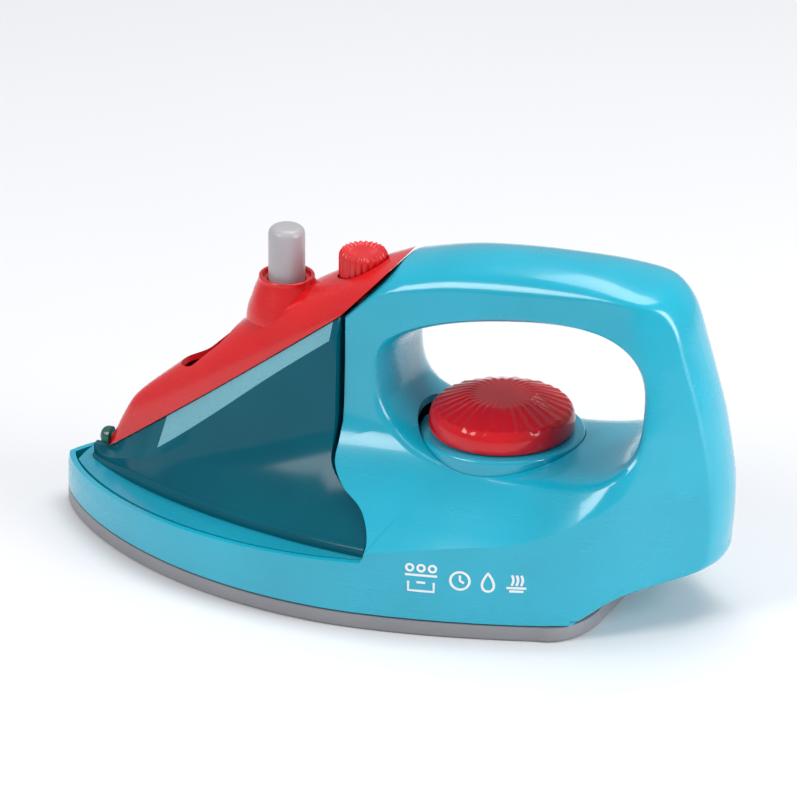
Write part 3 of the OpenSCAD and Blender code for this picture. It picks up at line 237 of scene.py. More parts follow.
def skirt_station(k, stations, levels):
    """Wall of the skirt beside the tank: points up the outside, then down the inside."""
    x = tank_rear_x * (1 - math.sin(math.radians(90 * k / stations)))
    bow = k == stations
    step = 0.1 * shell_wall
    slope = (plan_half(x + step) - plan_half(max(x - step, 0))) / (2 * step)
    out = (0, 1) if k == 0 else (-1, 0) if bow else (-slope / math.hypot(slope, 1), 1 / math.hypot(slope, 1))
    wide, top = 0 if bow else plan_half(x), skirt_rear_top if k == 0 else skirt_top(x)
    ease = min(k / 4, 1)
    outside, inside = [], []
    for j in range(levels + 1):
        z = mix(skirt_bottom, top, j / levels)
        y = mix(body_half(x, z), wide - 0.012 * (z - skirt_bottom), ease) if not bow else 0
        lean = 0.0004 * ease if j == levels else 0
        outside.append((x - out[0] * lean, y - out[1] * lean, z))
        inside.append((x - out[0] * shell_wall, max(y - out[1] * shell_wall, 0), z))
    return outside + inside[::-1]


def ring_faces(first, second, size):
    """Faces between two rings of as many points, which may be any two of a row of rings."""
    return [
        (first * size + k, first * size + (k + 1) % size, second * size + (k + 1) % size, second * size + k)
        for k in range(size)
    ]


def piece_from(name, points, faces):
    """A piece made from points behind the nose and faces, in the part's frame."""
    mesh = bpy.data.meshes.new(name)
    mesh.from_pydata([(nose_x + float(x), float(y), float(z)) for x, y, z in points], [], faces)
    piece = bpy.data.objects.new(name, mesh)
    bpy.context.scene.collection.objects.link(piece)
    shaped = bmesh.new()
    shaped.from_mesh(mesh)
    bmesh.ops.remove_doubles(shaped, verts=shaped.verts, dist=1e-6)
    bmesh.ops.recalc_face_normals(shaped, faces=shaped.faces)
    shaped.to_mesh(mesh)
    shaped.free()
    return piece


def rod_between(name, start, end, radius, sides=64):
    """A plain round bar that cuts a hole or fills a place, between two points behind the nose."""
    start, end = Vector(start), Vector(end)
    along = (end - start).normalized()
    side = along.orthogonal().normalized()
    other = along.cross(side)
    points, faces = [], []
    for centre in (start, end):
        for k in range(sides):
            turn = 2 * math.pi * k / sides
            points.append(centre + radius * (math.cos(turn) * side + math.sin(turn) * other))
    faces = [(k, (k + 1) % sides, sides + (k + 1) % sides, sides + k) for k in range(sides)]
    faces += [tuple(range(sides)), tuple(range(sides, 2 * sides))]
    return piece_from(name, points, faces)


def shaped_by(piece, tools, how="DIFFERENCE"):
    """Cuts or joins other forms into a piece and takes them away."""
    for tool in tools:
        step = piece.modifiers.new(how.lower(), "BOOLEAN")
        step.operation, step.object, step.solver = how, tool, "EXACT"
    bpy.context.view_layer.update()
    graph = bpy.context.evaluated_depsgraph_get()
    made = bpy.data.meshes.new_from_object(piece.evaluated_get(graph))
    piece.modifiers.clear()
    piece.data = made
    for tool in tools:
        bpy.data.objects.remove(tool)


def smoothed(piece, angle=32):
    """Soft shading, with the edges sharper than an angle kept crisp."""
    piece.data.shade_smooth()
    piece.data.set_sharp_from_angle(angle=math.radians(angle))


def finish_nodes(name):
    """An empty node material with its shader, and a place on the object to draw the grain from."""
    material = bpy.data.materials.new(name)
    material.use_nodes = True
    nodes, links = material.node_tree.nodes, material.node_tree.links
    shader = nodes["Principled BSDF"]
    place = nodes.new("ShaderNodeTexCoord")
    return material, nodes, links, shader, place


def mottled(nodes, links, place, scale, low, high, stretch=(1, 1, 1), detail=4):
    """Soft noise turned into a value between two limits."""
    size = nodes.new("ShaderNodeMapping")
    size.inputs["Scale"].default_value = stretch
    noise = nodes.new("ShaderNodeTexNoise")
    noise.inputs["Scale"].default_value = scale
    noise.inputs["Detail"].default_value = detail
    limits = nodes.new("ShaderNodeMapRange")
    limits.inputs["From Min"].default_value = 0.3
    limits.inputs["From Max"].default_value = 0.7
    limits.inputs["To Min"].default_value = low
    limits.inputs["To Max"].default_value = high
    links.new(place.outputs["Object"], size.inputs["Vector"])
    links.new(size.outputs["Vector"], noise.inputs["Vector"])
    links.new(noise.outputs["Fac"], limits.inputs["Value"])
    return limits.outputs["Result"]


def moulded_plastic(name, colour, gloss=0.26, depth=0.02, coat=0.35, grain=900.0, depth_of_colour=0.06):
    """Injection-moulded plastic with a slight drift in colour, flow marks and hairline rubs."""
    material, nodes, links, shader, place = finish_nodes(name)
    tint = nodes.new("ShaderNodeMix")
    tint.data_type = "RGBA"
    tint.inputs["A"].default_value = (*[c * (1 - depth_of_colour) for c in colour], 1)
    tint.inputs["B"].default_value = (*[min(c * (1 + depth_of_colour), 1) for c in colour], 1)
    links.new(mottled(nodes, links, place, 38, 0, 1), tint.inputs["Factor"])
    links.new(tint.outputs["Result"], shader.inputs["Base Color"])
    flow = mottled(nodes, links, place, 55, gloss - 0.03, gloss + 0.04)
    rubs = mottled(nodes, links, place, 420, 0, 0.05, stretch=(0.12, 1, 1.6), detail=6)
    both = nodes.new("ShaderNodeMath")
    both.operation = "ADD"
    links.new(flow, both.inputs[0])
    links.new(rubs, both.inputs[1])
    links.new(both.outputs["Value"], shader.inputs["Roughness"])
    bump = nodes.new("ShaderNodeBump")
    bump.inputs["Strength"].default_value = depth
    bump.inputs["Distance"].default_value = 0.0002
    links.new(mottled(nodes, links, place, grain, 0, 1), bump.inputs["Height"])
    links.new(bump.outputs["Normal"], shader.inputs["Normal"])
    shader.inputs["IOR"].default_value = 1.5
    shader.inputs["Coat Weight"].default_value = coat
    shader.inputs["Coat Roughness"].default_value = 0.08
    return material


def dressed(piece, body, material, *nodes, slot=None):
    """Gives a piece its finish, the body it moves with and the nodes that it stands for."""
    piece.data.materials.clear()
    piece.data.materials.append(material)
    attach(piece, body)
    if nodes:
        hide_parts(*nodes)
    return piece


body_plastic = moulded_plastic("turquoise_moulded", turquoise, gloss=0.22, coat=0.5)
dial_x = 0.6546 * body_length
seat_z = 0.0432
seat_radius = 0.0225
button_x = 0.4475 * body_length
button_top = 0.0886
flange_z = button_top - 0.0108
flange_thick = 0.001
flange_out = 0.0014
sound_travel = 0.002
pocket_z = flange_z - flange_thick - sound_travel - running_gap
button_radius = 0.0067
pocket_radius = button_radius + flange_out + 2 * running_gap
seat_depth = 0.0092
pocket_sides = 97  # odd, so that its corners keep off the shells' middle plane
screw_shares = [(0.484, 0.5), (0.765, 0.883), (0.905, 0.77), (0.877, 0.27)]
screw_head_radius = 0.0026
screw_hole_depth = 0.0042
seat_cut_top = 0.064
levels = 4
skirt_stations = 44


def half_shell(name, side):
    """One shell as a closed skin, with the seat's hole and the button's pocket cut, and the screw wells in
    the right one.
    """
    outline, floor_last = shell_outline()
    sections = []
    for row in outline:
        inner = shell_row(row, row[3], shell_wall, 3, 8)
        sections.append(shell_row(row, row[3], 0, 7, 34) + inner[::-1])
    across = len(sections[0])
    points = [p for section in sections for p in section]
    hooks = [floor_last + j for j in range(levels + 1)]
    faces = []
    for i in range(len(sections)):
        after = (i + 1) % len(sections)
        for j in range(across):
            if not (i in hooks[:-1] and j == across - 1):
                k = (j + 1) % across
                faces.append((i * across + j, i * across + k, after * across + k, after * across + j))
    ring = [[h * across for h in hooks] + [h * across + across - 1 for h in hooks[::-1]]]
    for k in range(1, skirt_stations + 1):
        ring.append(list(range(len(points), len(points) + 2 * levels + 2)))
        points += skirt_station(k, skirt_stations, levels)
    round_ring = 2 * levels + 2
    for a, b in zip(ring, ring[1:]):
        faces += [(a[j], a[(j + 1) % round_ring], b[(j + 1) % round_ring], b[j]) for j in range(round_ring)]
    faces += [
        (ring[-1][j], ring[-1][j + 1], ring[-1][round_ring - 2 - j], ring[-1][round_ring - 1 - j])
        for j in range(levels)
    ]
    piece = piece_from(name, [(x, side * y, z) for x, y, z in points], faces)
    cuts = [
        rod_between(
            "seat_cut", (dial_x, 0, seat_z - seat_depth - fixed_gap), (dial_x, 0, seat_cut_top),
            seat_radius + fixed_gap, 96),
        rod_between(
            "pocket_cut", (button_x, 0, pocket_z), (button_x, 0, body_height), pocket_radius, pocket_sides),
    ]
    if side > 0:
        for x_share, z_share in screw_shares:
            x, z = x_share * body_length, z_share * body_height
            cuts.append(rod_between(
                "screw_cut", (x, body_half(x, z) - screw_hole_depth, z), (x, half_width, z),
                screw_head_radius + fixed_gap, 48))
    shaped_by(piece, cuts)
    smoothed(piece)
    return piece


left_skin = half_shell("left_shell_skin", -1)
right_skin = half_shell("right_shell_skin", 1)
dressed(left_skin, "housing", body_plastic, "left_shell", slot="body_turquoise")
dressed(right_skin, "housing", body_plastic, "right_shell", slot="body_turquoise")


# Raised seat for the dial, a turned cup of the same turquoise that drops into the shells' hole.
# Its top edge is rounded, and the dial's shaft runs in its middle.
def turned_skin(name, x, profile, sides=96):
    """A skin turned round an upright axis from rows of radius and height, closed end to end."""
    points, faces = [], []
    for radius, z in profile:
        for k in range(sides):
            turn = 2 * math.pi * k / sides
            points.append((x + radius * math.cos(turn), radius * math.sin(turn), z))
    rings = len(profile)
    for i in range(rings):
        faces += ring_faces(i, (i + 1) % rings, sides)
    return piece_from(name, points, faces)


def rounded_corner(radius, z, size, rising, steps=6):
    """Quarter round on a turned edge, from the side over to the top, or back down."""
    turns = [math.radians(90 * k / steps) for k in range(steps + 1)]
    arc = [(radius - size + size * math.cos(t), z - size + size * math.sin(t)) for t in turns]
    return arc if rising else arc[::-1]


shaft_radius = 0.004
bore_radius = shaft_radius + 0.00008
seat_wall = 0.0016
seat_edge = 0.001
seat_floor = seat_z - 0.002
seat_skin = turned_skin("dial_seat_skin", dial_x, [
    (bore_radius, seat_floor), (seat_radius - seat_wall, seat_floor),
    (seat_radius - seat_wall, seat_z - seat_depth), (seat_radius, seat_z - seat_depth),
    *rounded_corner(seat_radius, seat_z, seat_edge, True), (bore_radius, seat_z),
])
smoothed(seat_skin, 50)
dressed(seat_skin, "housing", body_plastic, "dial_seat", slot="seat_teal")

# Soleplate of satin mid-grey plastic, with a soft lower edge. It carries the speaker's grille,
# the battery door's opening and three sunk screws, and a thin shadow gap parts it from the skirt.
sole_floor = 0.0016
sole_end_x = 0.842 * body_length
corner_x = 0.785 * body_length
tail_half = 0.4 * half_width
sole_steps = 90


def sole_half(x):
    """Half the soleplate's width, which follows the body's and then rounds in to the straight tail."""
    if x < corner_x:
        return plan_half(x)
    past = (x - corner_x) / (sole_end_x - corner_x)
    return mix(tail_half, plan_half(corner_x), math.sqrt(max(1 - past ** 2, 0)))


def sole_loop(inset, z):
    """The soleplate's outline, drawn in by an inset, at one height."""
    side = []
    for k in range(sole_steps + 1):
        x = mix(2 * inset, sole_end_x - inset, (1 - math.cos(math.pi * k / sole_steps)) / 2)
        wide = 0 if k == 0 else sole_half(x + (inset if x > corner_x else 0)) - inset
        side.append((x, max(wide, 0), z))
    return side + [(x, -y, z) for x, y, z in side[:0:-1]]


sole_rows = [
    (0.0011, 0), (0.0006, 0.00008), (0.00025, 0.0003), (0.00006, 0.0006), (0, 0.001), (0, 0.0040),
    (0.00008, 0.00422), (0.0003, sole_height), (0.0016, sole_height), (0.0016, sole_floor),
]
sole_loops = [sole_loop(inset, z) for inset, z in sole_rows]
loop_size = len(sole_loops[0])
last_loop = len(sole_loops) - 1
sole_faces = [face for i in range(last_loop) for face in ring_faces(i, i + 1, loop_size)]
sole_faces += [tuple(range(loop_size)), tuple(range(last_loop * loop_size, len(sole_loops) * loop_size))]
sole_skin = piece_from("soleplate_skin", [p for loop in sole_loops for p in loop], sole_faces)
speaker_x = 0.29 * body_length
grille_pitch = 0.0046
grille_radius = 0.0011
grille_places = [(0, 0)]
for ring in (1, 2):
    for turn in [math.radians(60 * k / ring) for k in range(6 * ring)]:
        grille_places.append((ring * grille_pitch * math.cos(turn), ring * grille_pitch * math.sin(turn)))
side_screw_x, side_screw_y = 0.43 * body_length, 0.66 * half_width
sole_screws = [(0.165 * body_length, 0), (side_screw_x, side_screw_y), (side_screw_x, -side_screw_y)]
cut_from, cut_to = -0.001, 0.003
door_low, door_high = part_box("battery_door")
door_cut = piece_from("door_cut", [
    (x, y, z)
    for x in (door_low.x - nose_x - fixed_gap, door_high.x - nose_x + fixed_gap)
    for y in (door_low.y - fixed_gap, door_high.y + fixed_gap) for z in (cut_from, cut_to)
], [(0, 1, 3, 2), (4, 6, 7, 5), (0, 4, 5, 1), (2, 3, 7, 6), (0, 2, 6, 4), (1, 5, 7, 3)])
sole_cuts = [
    rod_between("grille_cut", (speaker_x + x, y, cut_from), (speaker_x + x, y, cut_to), grille_radius, 20)
    for x, y in grille_places
]
sole_cuts += [
    rod_between("head_cut", (x, y, cut_from), (x, y, cut_to), screw_head_radius + fixed_gap, 48)
    for x, y in sole_screws
]
shaped_by(sole_skin, [door_cut] + sole_cuts)
smoothed(sole_skin)
sole_plastic = moulded_plastic("grey_moulded", (0.25, 0.25, 0.265), gloss=0.38, depth=0.05, coat=0.1)
dressed(sole_skin, "housing", sole_plastic, "soleplate", slot="sole_grey")

# Water tank of thin, dark tinted plastic, on the deck. Its side flares to a bead at the foot, a rougher band
# runs under the cover's edge with a pale painted highlight, and little of the hose and the pump shows
# through.
tank_wall = 0.0018
tip_x = 0.0663 * body_length
tip_z = 0.18 * body_height
tank_nose_x = 0.041 * body_length
edge_slope = (brow_z - tip_z) / (column_x - tip_x)
bead_height = 0.0024
bead_out = 0.0016
edge_shares = [
    (0.0663, 0.03), (0.1, 0.09), (0.153, 0.155), (0.243, 0.247), (0.356, 0.309), (0.449, 0.33),
]
ledge_shares = [(0.04, 0.21), (0.13, 0.25), (0.24, 0.26), (0.36, 0.225), (0.48, 0.145), (0.543, 0.085)]
band_out_shares = [(0.05, 0.03), (0.1275, 0.11), (0.18, 0.14), (0.255, 0.12), (0.357, 0.09), (0.449, 0.052)]
band_drop_shares = [(0.05, 0.03), (0.1275, 0.065), (0.18, 0.07), (0.255, 0.064), (0.357, 0.05), (0.449, 0.05)]
edge_line = np.array(through_points(edge_shares, 6))
ledge_line = np.array(through_points(ledge_shares, 6))
band_out_line = np.array(through_points(band_out_shares, 6))
band_drop_line = np.array(through_points(band_drop_shares, 6))


def edge_z(x):
    """Height of the cover's lower edge."""
    return tip_z + edge_slope * (min(max(x, tip_x), column_x) - tip_x)


def edge_half(x):
    """Half the width over the cover's lower edge."""
    return half_width * looked_up(x / body_length, edge_line)


def tank_section(x, inset, top):
    """Half of the tank's cross-section, from the foot up to the cover's edge."""
    foot_z = skirt_top(x) + fixed_gap
    foot = plan_half(x) - half_width * looked_up(x / body_length, ledge_line)
    edge_top = edge_z(x) - 2 * fixed_gap
    edge = max(edge_half(x) - inset - fixed_gap, 0.15 * shell_wall)
    room = edge_top - foot_z
    bead = min(bead_height, 0.2 * room)
    bead_y, bead_z = max(foot - bead_out, 0.5 * shell_wall), foot_z + 1.1 * bead
    band_z = max(edge_z(x) - body_height * looked_up(x / body_length, band_drop_line), bead_z + 0.35 * room)
    band_y = min(edge + half_width * looked_up(x / body_length, band_out_line), bead_y)
    flare_z = bead_z + min(0.47 * (edge_z(x) - bead_z), 0.8 * (band_z - bead_z))
    flare_y = min(band_y + 0.03 * half_width, bead_y)
    back = 1.5 * inset
    least = 0.2 * shell_wall
    if inset:
        section = [(max(bead_y - back, least), foot_z + inset)] * 6
    else:
        section = [(foot, foot_z), (foot, foot_z + 0.35 * bead)]
        for turn in (20, 40, 60, 80):
            t = math.radians(turn)
            section.append((mix(bead_y, foot, math.cos(t)), mix(foot_z + 0.35 * bead, bead_z, math.sin(t))))
    for k in range(15):
        section.append((
            max(mix(flare_y, bead_y, (1 - k / 14) ** 1.8) - back, least),
            mix(max(bead_z, foot_z + 1.1 * inset), flare_z, k / 14)))
    section.append((max(mix(flare_y, band_y, 0.5) - 0.75 * inset, least), mix(flare_z, band_z, 0.5)))
    section.append((max(band_y - inset / 2, least), band_z))
    section.append((edge, edge_top))
    section.append((edge, edge_top + top))
    return section


def end_faces(ring, around):
    """Faces that close the end of a body, across from one half of its ring to the other."""
    start = ring * around
    return [
        (start + j, start + j + 1, start + around - 2 - j, start + around - 1 - j)
        for j in range(around // 2 - 1)
    ]


def tank_solid(name, start, end, inset, top, stations=56):
    """Closed body through the tank's cross-sections."""
    rings = []
    for k in range(stations + 1):
        x = mix(start, end, (k / stations) ** 1.2)
        half = tank_section(x, inset, top)
        rings.append([(x, y, z) for y, z in half] + [(x, -y, z) for y, z in half[::-1]])
    around = len(rings[0])
    faces = [face for i in range(stations) for face in ring_faces(i, i + 1, around)]
    faces += end_faces(0, around) + end_faces(stations, around)
    return piece_from(name, [p for ring in rings for p in ring], faces)


far_up, far_back, far_side = 0.12, 0.14, 0.06


def throat_block(name, gap):
    """Everything behind the tank's stepped back edge, which the column's throat takes."""
    line = [(tank_rear_x + 0.001, skirt_rear_top + bead_height)]
    throat = through_points([(x * body_length, z * body_height, r) for x, z, r in throat_shares], 6)
    line += [(p[0], p[1]) for p in throat if p[1] > skirt_rear_top + bead_height]
    corners = [(x - gap, z - gap) for x, z in line]
    corners += [(column_x - gap, far_up), (far_back, far_up), (far_back, line[0][1] - gap)]
    count = len(corners)
    points = [(x, y, z) for y in (-far_side, far_side) for x, z in corners]
    faces = [(k, (k + 1) % count, count + (k + 1) % count, count + k) for k in range(count)]
    faces += [tuple(range(count)), tuple(range(count, 2 * count))]
    return piece_from(name, points, faces)


tank_skin = tank_solid("water_tank_skin", tank_nose_x, tank_rear_x - fixed_gap, 0, 0)
open_above = 0.001
hollow_start, hollow_end = tip_x + 2.5 * tank_wall, tank_rear_x - tank_wall
hollow = tank_solid("tank_hollow", hollow_start, hollow_end, tank_wall, open_above)
shaped_by(hollow, [throat_block("inner_throat", fixed_gap + tank_wall)])
nozzle_z = 0.203 * body_height
hose_radius = 0.002
hose_start, hose_end = 0.09 * body_length, 0.117 * body_length
hose_hole, nozzle_hole = hose_radius + 0.00025, 0.0028
shaped_by(tank_skin, [
    hollow, throat_block("outer_throat", fixed_gap),
    rod_between("hose_cut", (hose_start, 0, nozzle_z), (hose_end, 0, nozzle_z), hose_hole, 32),
    rod_between("nozzle_cut", (0, 0, nozzle_z), (tip_x + fixed_gap, 0, nozzle_z), nozzle_hole, 32),
    rod_between("pocket_cut", (button_x, 0, pocket_z), (button_x, 0, body_height), pocket_radius, 48),
])
smoothed(tank_skin, 28)


def clear_plastic(name, colour, roughness=0.06, clear=0.92, ripple=0.03, shine=0.5):
    """Tinted clear plastic: light goes through it, with a faint mould ripple and a soft bloom."""
    material, nodes, links, shader, place = finish_nodes(name)
    tint = nodes.new("ShaderNodeMix")
    tint.data_type = "RGBA"
    tint.inputs["A"].default_value = (*[c * 0.92 for c in colour], 1)
    tint.inputs["B"].default_value = (*[min(c * 1.08, 1) for c in colour], 1)
    links.new(mottled(nodes, links, place, 45, 0, 1), tint.inputs["Factor"])
    links.new(tint.outputs["Result"], shader.inputs["Base Color"])
    links.new(mottled(nodes, links, place, 160, roughness, roughness + 0.05), shader.inputs["Roughness"])
    bump = nodes.new("ShaderNodeBump")
    bump.inputs["Strength"].default_value = ripple
    bump.inputs["Distance"].default_value = 0.0004
    links.new(mottled(nodes, links, place, 120, 0, 1), bump.inputs["Height"])
    links.new(bump.outputs["Normal"], shader.inputs["Normal"])
    shader.inputs["Transmission Weight"].default_value = clear
    shader.inputs["IOR"].default_value = 1.49
    shader.inputs["Specular IOR Level"].default_value = shine
    return material


tank_plastic = clear_plastic("teal_clear", (0.0, 0.13, 0.185), roughness=0.14, clear=0.28, shine=0.1)
# The band's pale tint is a painted highlight, standing in for the light that the up-facing band reflects.
band_painted_highlight = clear_plastic("teal_painted_highlight", (0.22, 0.56, 0.66), roughness=0.25, clear=0.3)
dressed(tank_skin, "housing", tank_plastic, "water_tank", slot="tank_teal")
tank_skin.data.materials.append(band_painted_highlight)
# Faces of the band under the cover's edge get the pale painted highlight.
highlight_band_start, highlight_band_end = tip_x + 0.02, column_x - 0.002
for face in tank_skin.data.polygons:
    x = face.center.x - nose_x
    highlight_band_foot = edge_z(x) - body_height * looked_up(x / body_length, band_drop_line)
    outside = abs(face.center.y) > edge_half(x) - fixed_gap
    if outside and face.center.z > highlight_band_foot and highlight_band_start < x < highlight_band_end:
        face.material_index = 1

# Deck that the tank stands on, a flat moulding a shade darker than the shells. Only a ledge of it
# shows, wide beside the nose and narrow at the column.
deck_plastic = moulded_plastic("ledge_moulded", (0.008, 0.30, 0.42), gloss=0.26)
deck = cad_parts["tank_deck"]
deck.data.materials.clear()
deck.data.materials.append(deck_plastic)

# Cover of gloss red plastic, a crowned shield over the tank with the pump's collar and the button's
# well moulded on it, and an oval hole to fill the tank through.
ridge_shares = [
    (0.0663, 0.205), (0.075, 0.232), (0.089, 0.291), (0.11, 0.355), (0.167, 0.455),
    (0.217, 0.536), (0.277, 0.637), (0.333, 0.713), (0.389, 0.786), (0.449, 0.845), (0.515, 0.9),
]
ridge_line = np.array(through_points(ridge_shares, 8))
cover_gap = fixed_gap
pump_x = 0.333 * body_length
collar_top = 0.0777
collar_foot = collar_top - 0.009
collar_radius = 0.0076
plunger_radius = 0.005
chamber_radius = plunger_radius + running_gap
well_radius = button_radius + running_gap
flange_radius = well_radius + flange_out
crown_power = 2 / 2.4
cover_red = (0.64, 0.005, 0.007)


def ridge_z(x):
    """Height of the cover's ridge."""
    return body_height * looked_up(x / body_length, ridge_line)


def cover_point(share, turn, inset):
    """A point over the cover's crown, or under it where there is an inset."""
    low_x = mix(tip_x, column_x - cover_gap, share)
    high_x = mix(tip_x, junction_x - cover_gap, share)
    edge = edge_half(low_x)
    half = max(edge - inset, 0.3 * edge)
    rise = ridge_z(high_x) - edge_z(low_x)
    top = max(rise - 1.2 * inset, 0.3 * rise)
    c, lift = math.cos(turn), abs(math.sin(turn)) ** crown_power
    return (
        mix(low_x, high_x, lift * top / rise),
        half * math.copysign(abs(c) ** crown_power, c),
        edge_z(low_x) + top * lift,
    )


arc_steps = 40
cover_stations = 64
cover_rings = []
for i in range(cover_stations + 1):
    share = (i / cover_stations) ** 1.2
    turns = [math.pi * k / arc_steps for k in range(arc_steps + 1)]
    cover_rings.append(
        [cover_point(share, t, 0) for t in turns] + [cover_point(share, t, shell_wall) for t in turns[::-1]])
around = len(cover_rings[0])
cover_faces = [face for i in range(cover_stations) for face in ring_faces(i, i + 1, around)]
cover_faces += end_faces(0, around) + end_faces(cover_stations, around)
cover_skin = piece_from("top_cover_skin", [p for ring in cover_rings for p in ring], cover_faces)
collar_low = 0.0619
collar_edge = 0.0005
inner_radius = chamber_radius - 0.0001
collar_form = turned_skin("collar_form", pump_x, [
    (inner_radius, collar_low), (0.0081, collar_low), (0.0087, collar_foot - 0.004),
    (0.0110, collar_foot - 0.003), (0.0105, collar_foot), (0.0094, collar_foot + 0.003),
    (0.0086, collar_foot + 0.0055), (0.0078, collar_foot + 0.0074), (collar_radius, collar_top - 0.0008),
    *rounded_corner(collar_radius, collar_top, collar_edge, True, 4),
    (0.0066, collar_top - 0.0002), (0.0063, collar_top - 0.0012), (inner_radius, collar_top - 0.0014),
])
fill_start, fill_end, fill_radius = 0.202 * body_length, 0.238 * body_length, 0.0066


def oval_bar(name, first, last, radius, below, above, sides=48):
    """A bar with an oval outline standing square to the cover, to cut the fill hole."""
    a, b = Vector((first, 0, ridge_z(first))), Vector((last, 0, ridge_z(last)))
    along = (b - a).normalized()
    up = along.cross(Vector((0, 1, 0))).normalized()
    loop = []
    for k in range(sides):
        turn = 2 * math.pi * k / sides
        centre = b if math.cos(turn) > 0 else a
        loop.append(centre + radius * (math.cos(turn) * along + math.sin(turn) * Vector((0, 1, 0))))
    points = [p + up * h for h in (-below, above) for p in loop]
    faces = [(k, (k + 1) % sides, sides + (k + 1) % sides, sides + k) for k in range(sides)]
    faces += [tuple(range(sides)), tuple(range(sides, 2 * sides))]
    return piece_from(name, points, faces)


shaped_by(cover_skin, [collar_form], "UNION")
well_top = ridge_z(button_x - flange_radius)
well_core = 0.001
shaped_by(cover_skin, [
    turned_skin("well_form", button_x, [
        (well_core, flange_z + fixed_gap), (flange_radius, flange_z + fixed_gap),
        (flange_radius, well_top), (well_core, well_top)])
], "UNION")
over_all = 0.1
under_collar, under_well = 0.06, 0.07
barrel_top, barrel_hole = 0.0684, 0.0069
fill_below, fill_above = 0.011, 0.006
shaped_by(cover_skin, [
    rod_between("chamber_cut", (pump_x, 0, under_collar), (pump_x, 0, over_all), chamber_radius, 64),
    rod_between("barrel_cut", (pump_x, 0, under_collar), (pump_x, 0, barrel_top), barrel_hole, 64),
    rod_between("well_cut", (button_x, 0, under_well), (button_x, 0, over_all), well_radius, 96),
    oval_bar("fill_cut", fill_start, fill_end, fill_radius, fill_below, fill_above),
])
smoothed(cover_skin, 34)
cover_plastic = moulded_plastic("red_moulded", cover_red, gloss=0.24, coat=0.3)
dressed(cover_skin, "housing", cover_plastic, "top_cover", slot="cover_red")

# Push rod of the spray pump, turned from grey plastic with a domed top, and the black seal in its
# groove. Both slide down into the barrel.
plunger_top = 0.0917
plunger_end = plunger_top - 0.4 * body_height
seal_z = plunger_end + 0.003
seal_top = seal_z + 0.002
groove_radius = plunger_radius - 0.001
foot_edge = 0.0002
dome_round = 0.0022
centre_radius = 0.00002
plunger_skin = turned_skin("spray_plunger_skin", pump_x, [
    (centre_radius, plunger_end), (plunger_radius - foot_edge, plunger_end),
    (plunger_radius, plunger_end + foot_edge), (plunger_radius, seal_z), (groove_radius, seal_z),
    (groove_radius, seal_top), (plunger_radius, seal_top),
    *rounded_corner(plunger_radius, plunger_top, dome_round, True, 10), (centre_radius, plunger_top),
])
smoothed(plunger_skin, 40)
plunger_plastic = moulded_plastic("grey_rod", (0.40, 0.38, 0.40), gloss=0.34, depth=0.04, coat=0.15)
dressed(plunger_skin, "plunger", plunger_plastic, "spray_plunger", slot="plunger_grey")

# Sound button of red plastic, ribbed all round, with a coarse grip on its dished top, a flange that
# stops it under the well, and a stem that reaches back into the column.
rib_count = 24
rib_out = 0.0003
rib_up = 0.00035
rib_up_within = 0.006
button_rows = [
    (0.0001, flange_z - flange_thick, 0), (flange_radius, flange_z - flange_thick, 0),
    (flange_radius, flange_z, 0),
    (0.0064, flange_z, 0), (0.0064, button_top - 0.0072, 0), (0.0064, button_top - 0.0069, 1),
    (0.0064, button_top - 0.0018, 1), (0.0063, button_top - 0.0011, 1), (0.0060, button_top - 0.0005, 1),
    (0.0056, button_top - 0.0002, 1), (0.0051, button_top - 0.0003, 0.6), (0.0044, button_top - 0.0007, 0.3),
    (0.0034, button_top - 0.0006, 0.3), (0.0022, button_top - 0.0008, 0.2), (0.0010, button_top - 0.0006, 0),
    (0.0001, button_top - 0.0006, 0),
]
button_sides = rib_count * 8
points, faces = [], []
for radius, z, ribbed in button_rows:
    for k in range(button_sides):
        turn = 2 * math.pi * k / button_sides
        wave = 0.5 + 0.5 * math.cos(rib_count * turn)
        out = radius + ribbed * rib_out * wave
        rise = rib_up * wave * ribbed if radius < rib_up_within else 0
        points.append((button_x + out * math.cos(turn), out * math.sin(turn), z + rise))
for i in range(len(button_rows)):
    faces += ring_faces(i, (i + 1) % len(button_rows), button_sides)
button_skin = piece_from("sound_button_skin", points, faces)
stem_radius = 0.002
stem_x = button_x + flange_radius - stem_radius - fixed_gap
bracket_drop = 0.0016
stem_end = 0.673 * body_height - bracket_drop + sound_travel + running_gap
stem_top = flange_z - flange_thick / 2
shaped_by(button_skin, [
    rod_between("stem_form", (stem_x, 0, stem_end), (stem_x, 0, stem_top), stem_radius, 32)
], "UNION")
smoothed(button_skin, 40)
button_plastic = moulded_plastic(
    "red_grip", (0.62, 0.006, 0.009), gloss=0.33, depth=0.12, coat=0.15, grain=1600)
dressed(button_skin, "button", button_plastic, "sound_button", slot="button_red")

# Dial of clear red plastic, hollow below, with a flat top, a ring of fluted facets and a rounded side.
# Its shaft turns in the seat and a steel clip holds it from below.
dial_radius = 0.0198
dial_height = 0.010
dial_base = seat_z + running_gap
dial_top = dial_base + dial_height
facets = 16
flutes = 2 * facets
flute_depth = 0.00025
side_shares = [
    (0.96, 0), (0.978, 0.02), (0.99, 0.06), (0.998, 0.12), (1, 0.2), (0.999, 0.3), (0.992, 0.4),
    (0.981, 0.49), (0.965, 0.56), (0.945, 0.625), (0.92, 0.68), (0.887, 0.73), (0.85, 0.77), (0.8, 0.805),
    (0.65, 0.9), (0.5, 0.99), (0.48, 0.997), (0.46, 1), (0.3, 1), (0, 1),
]
steps_each = 16
dial_sides = facets * steps_each
facet_slope = math.tan(math.radians(22))
flutes_from, flutes_to = 0.3, 0.95
shaft_end = 0.0312
points, faces = [], []
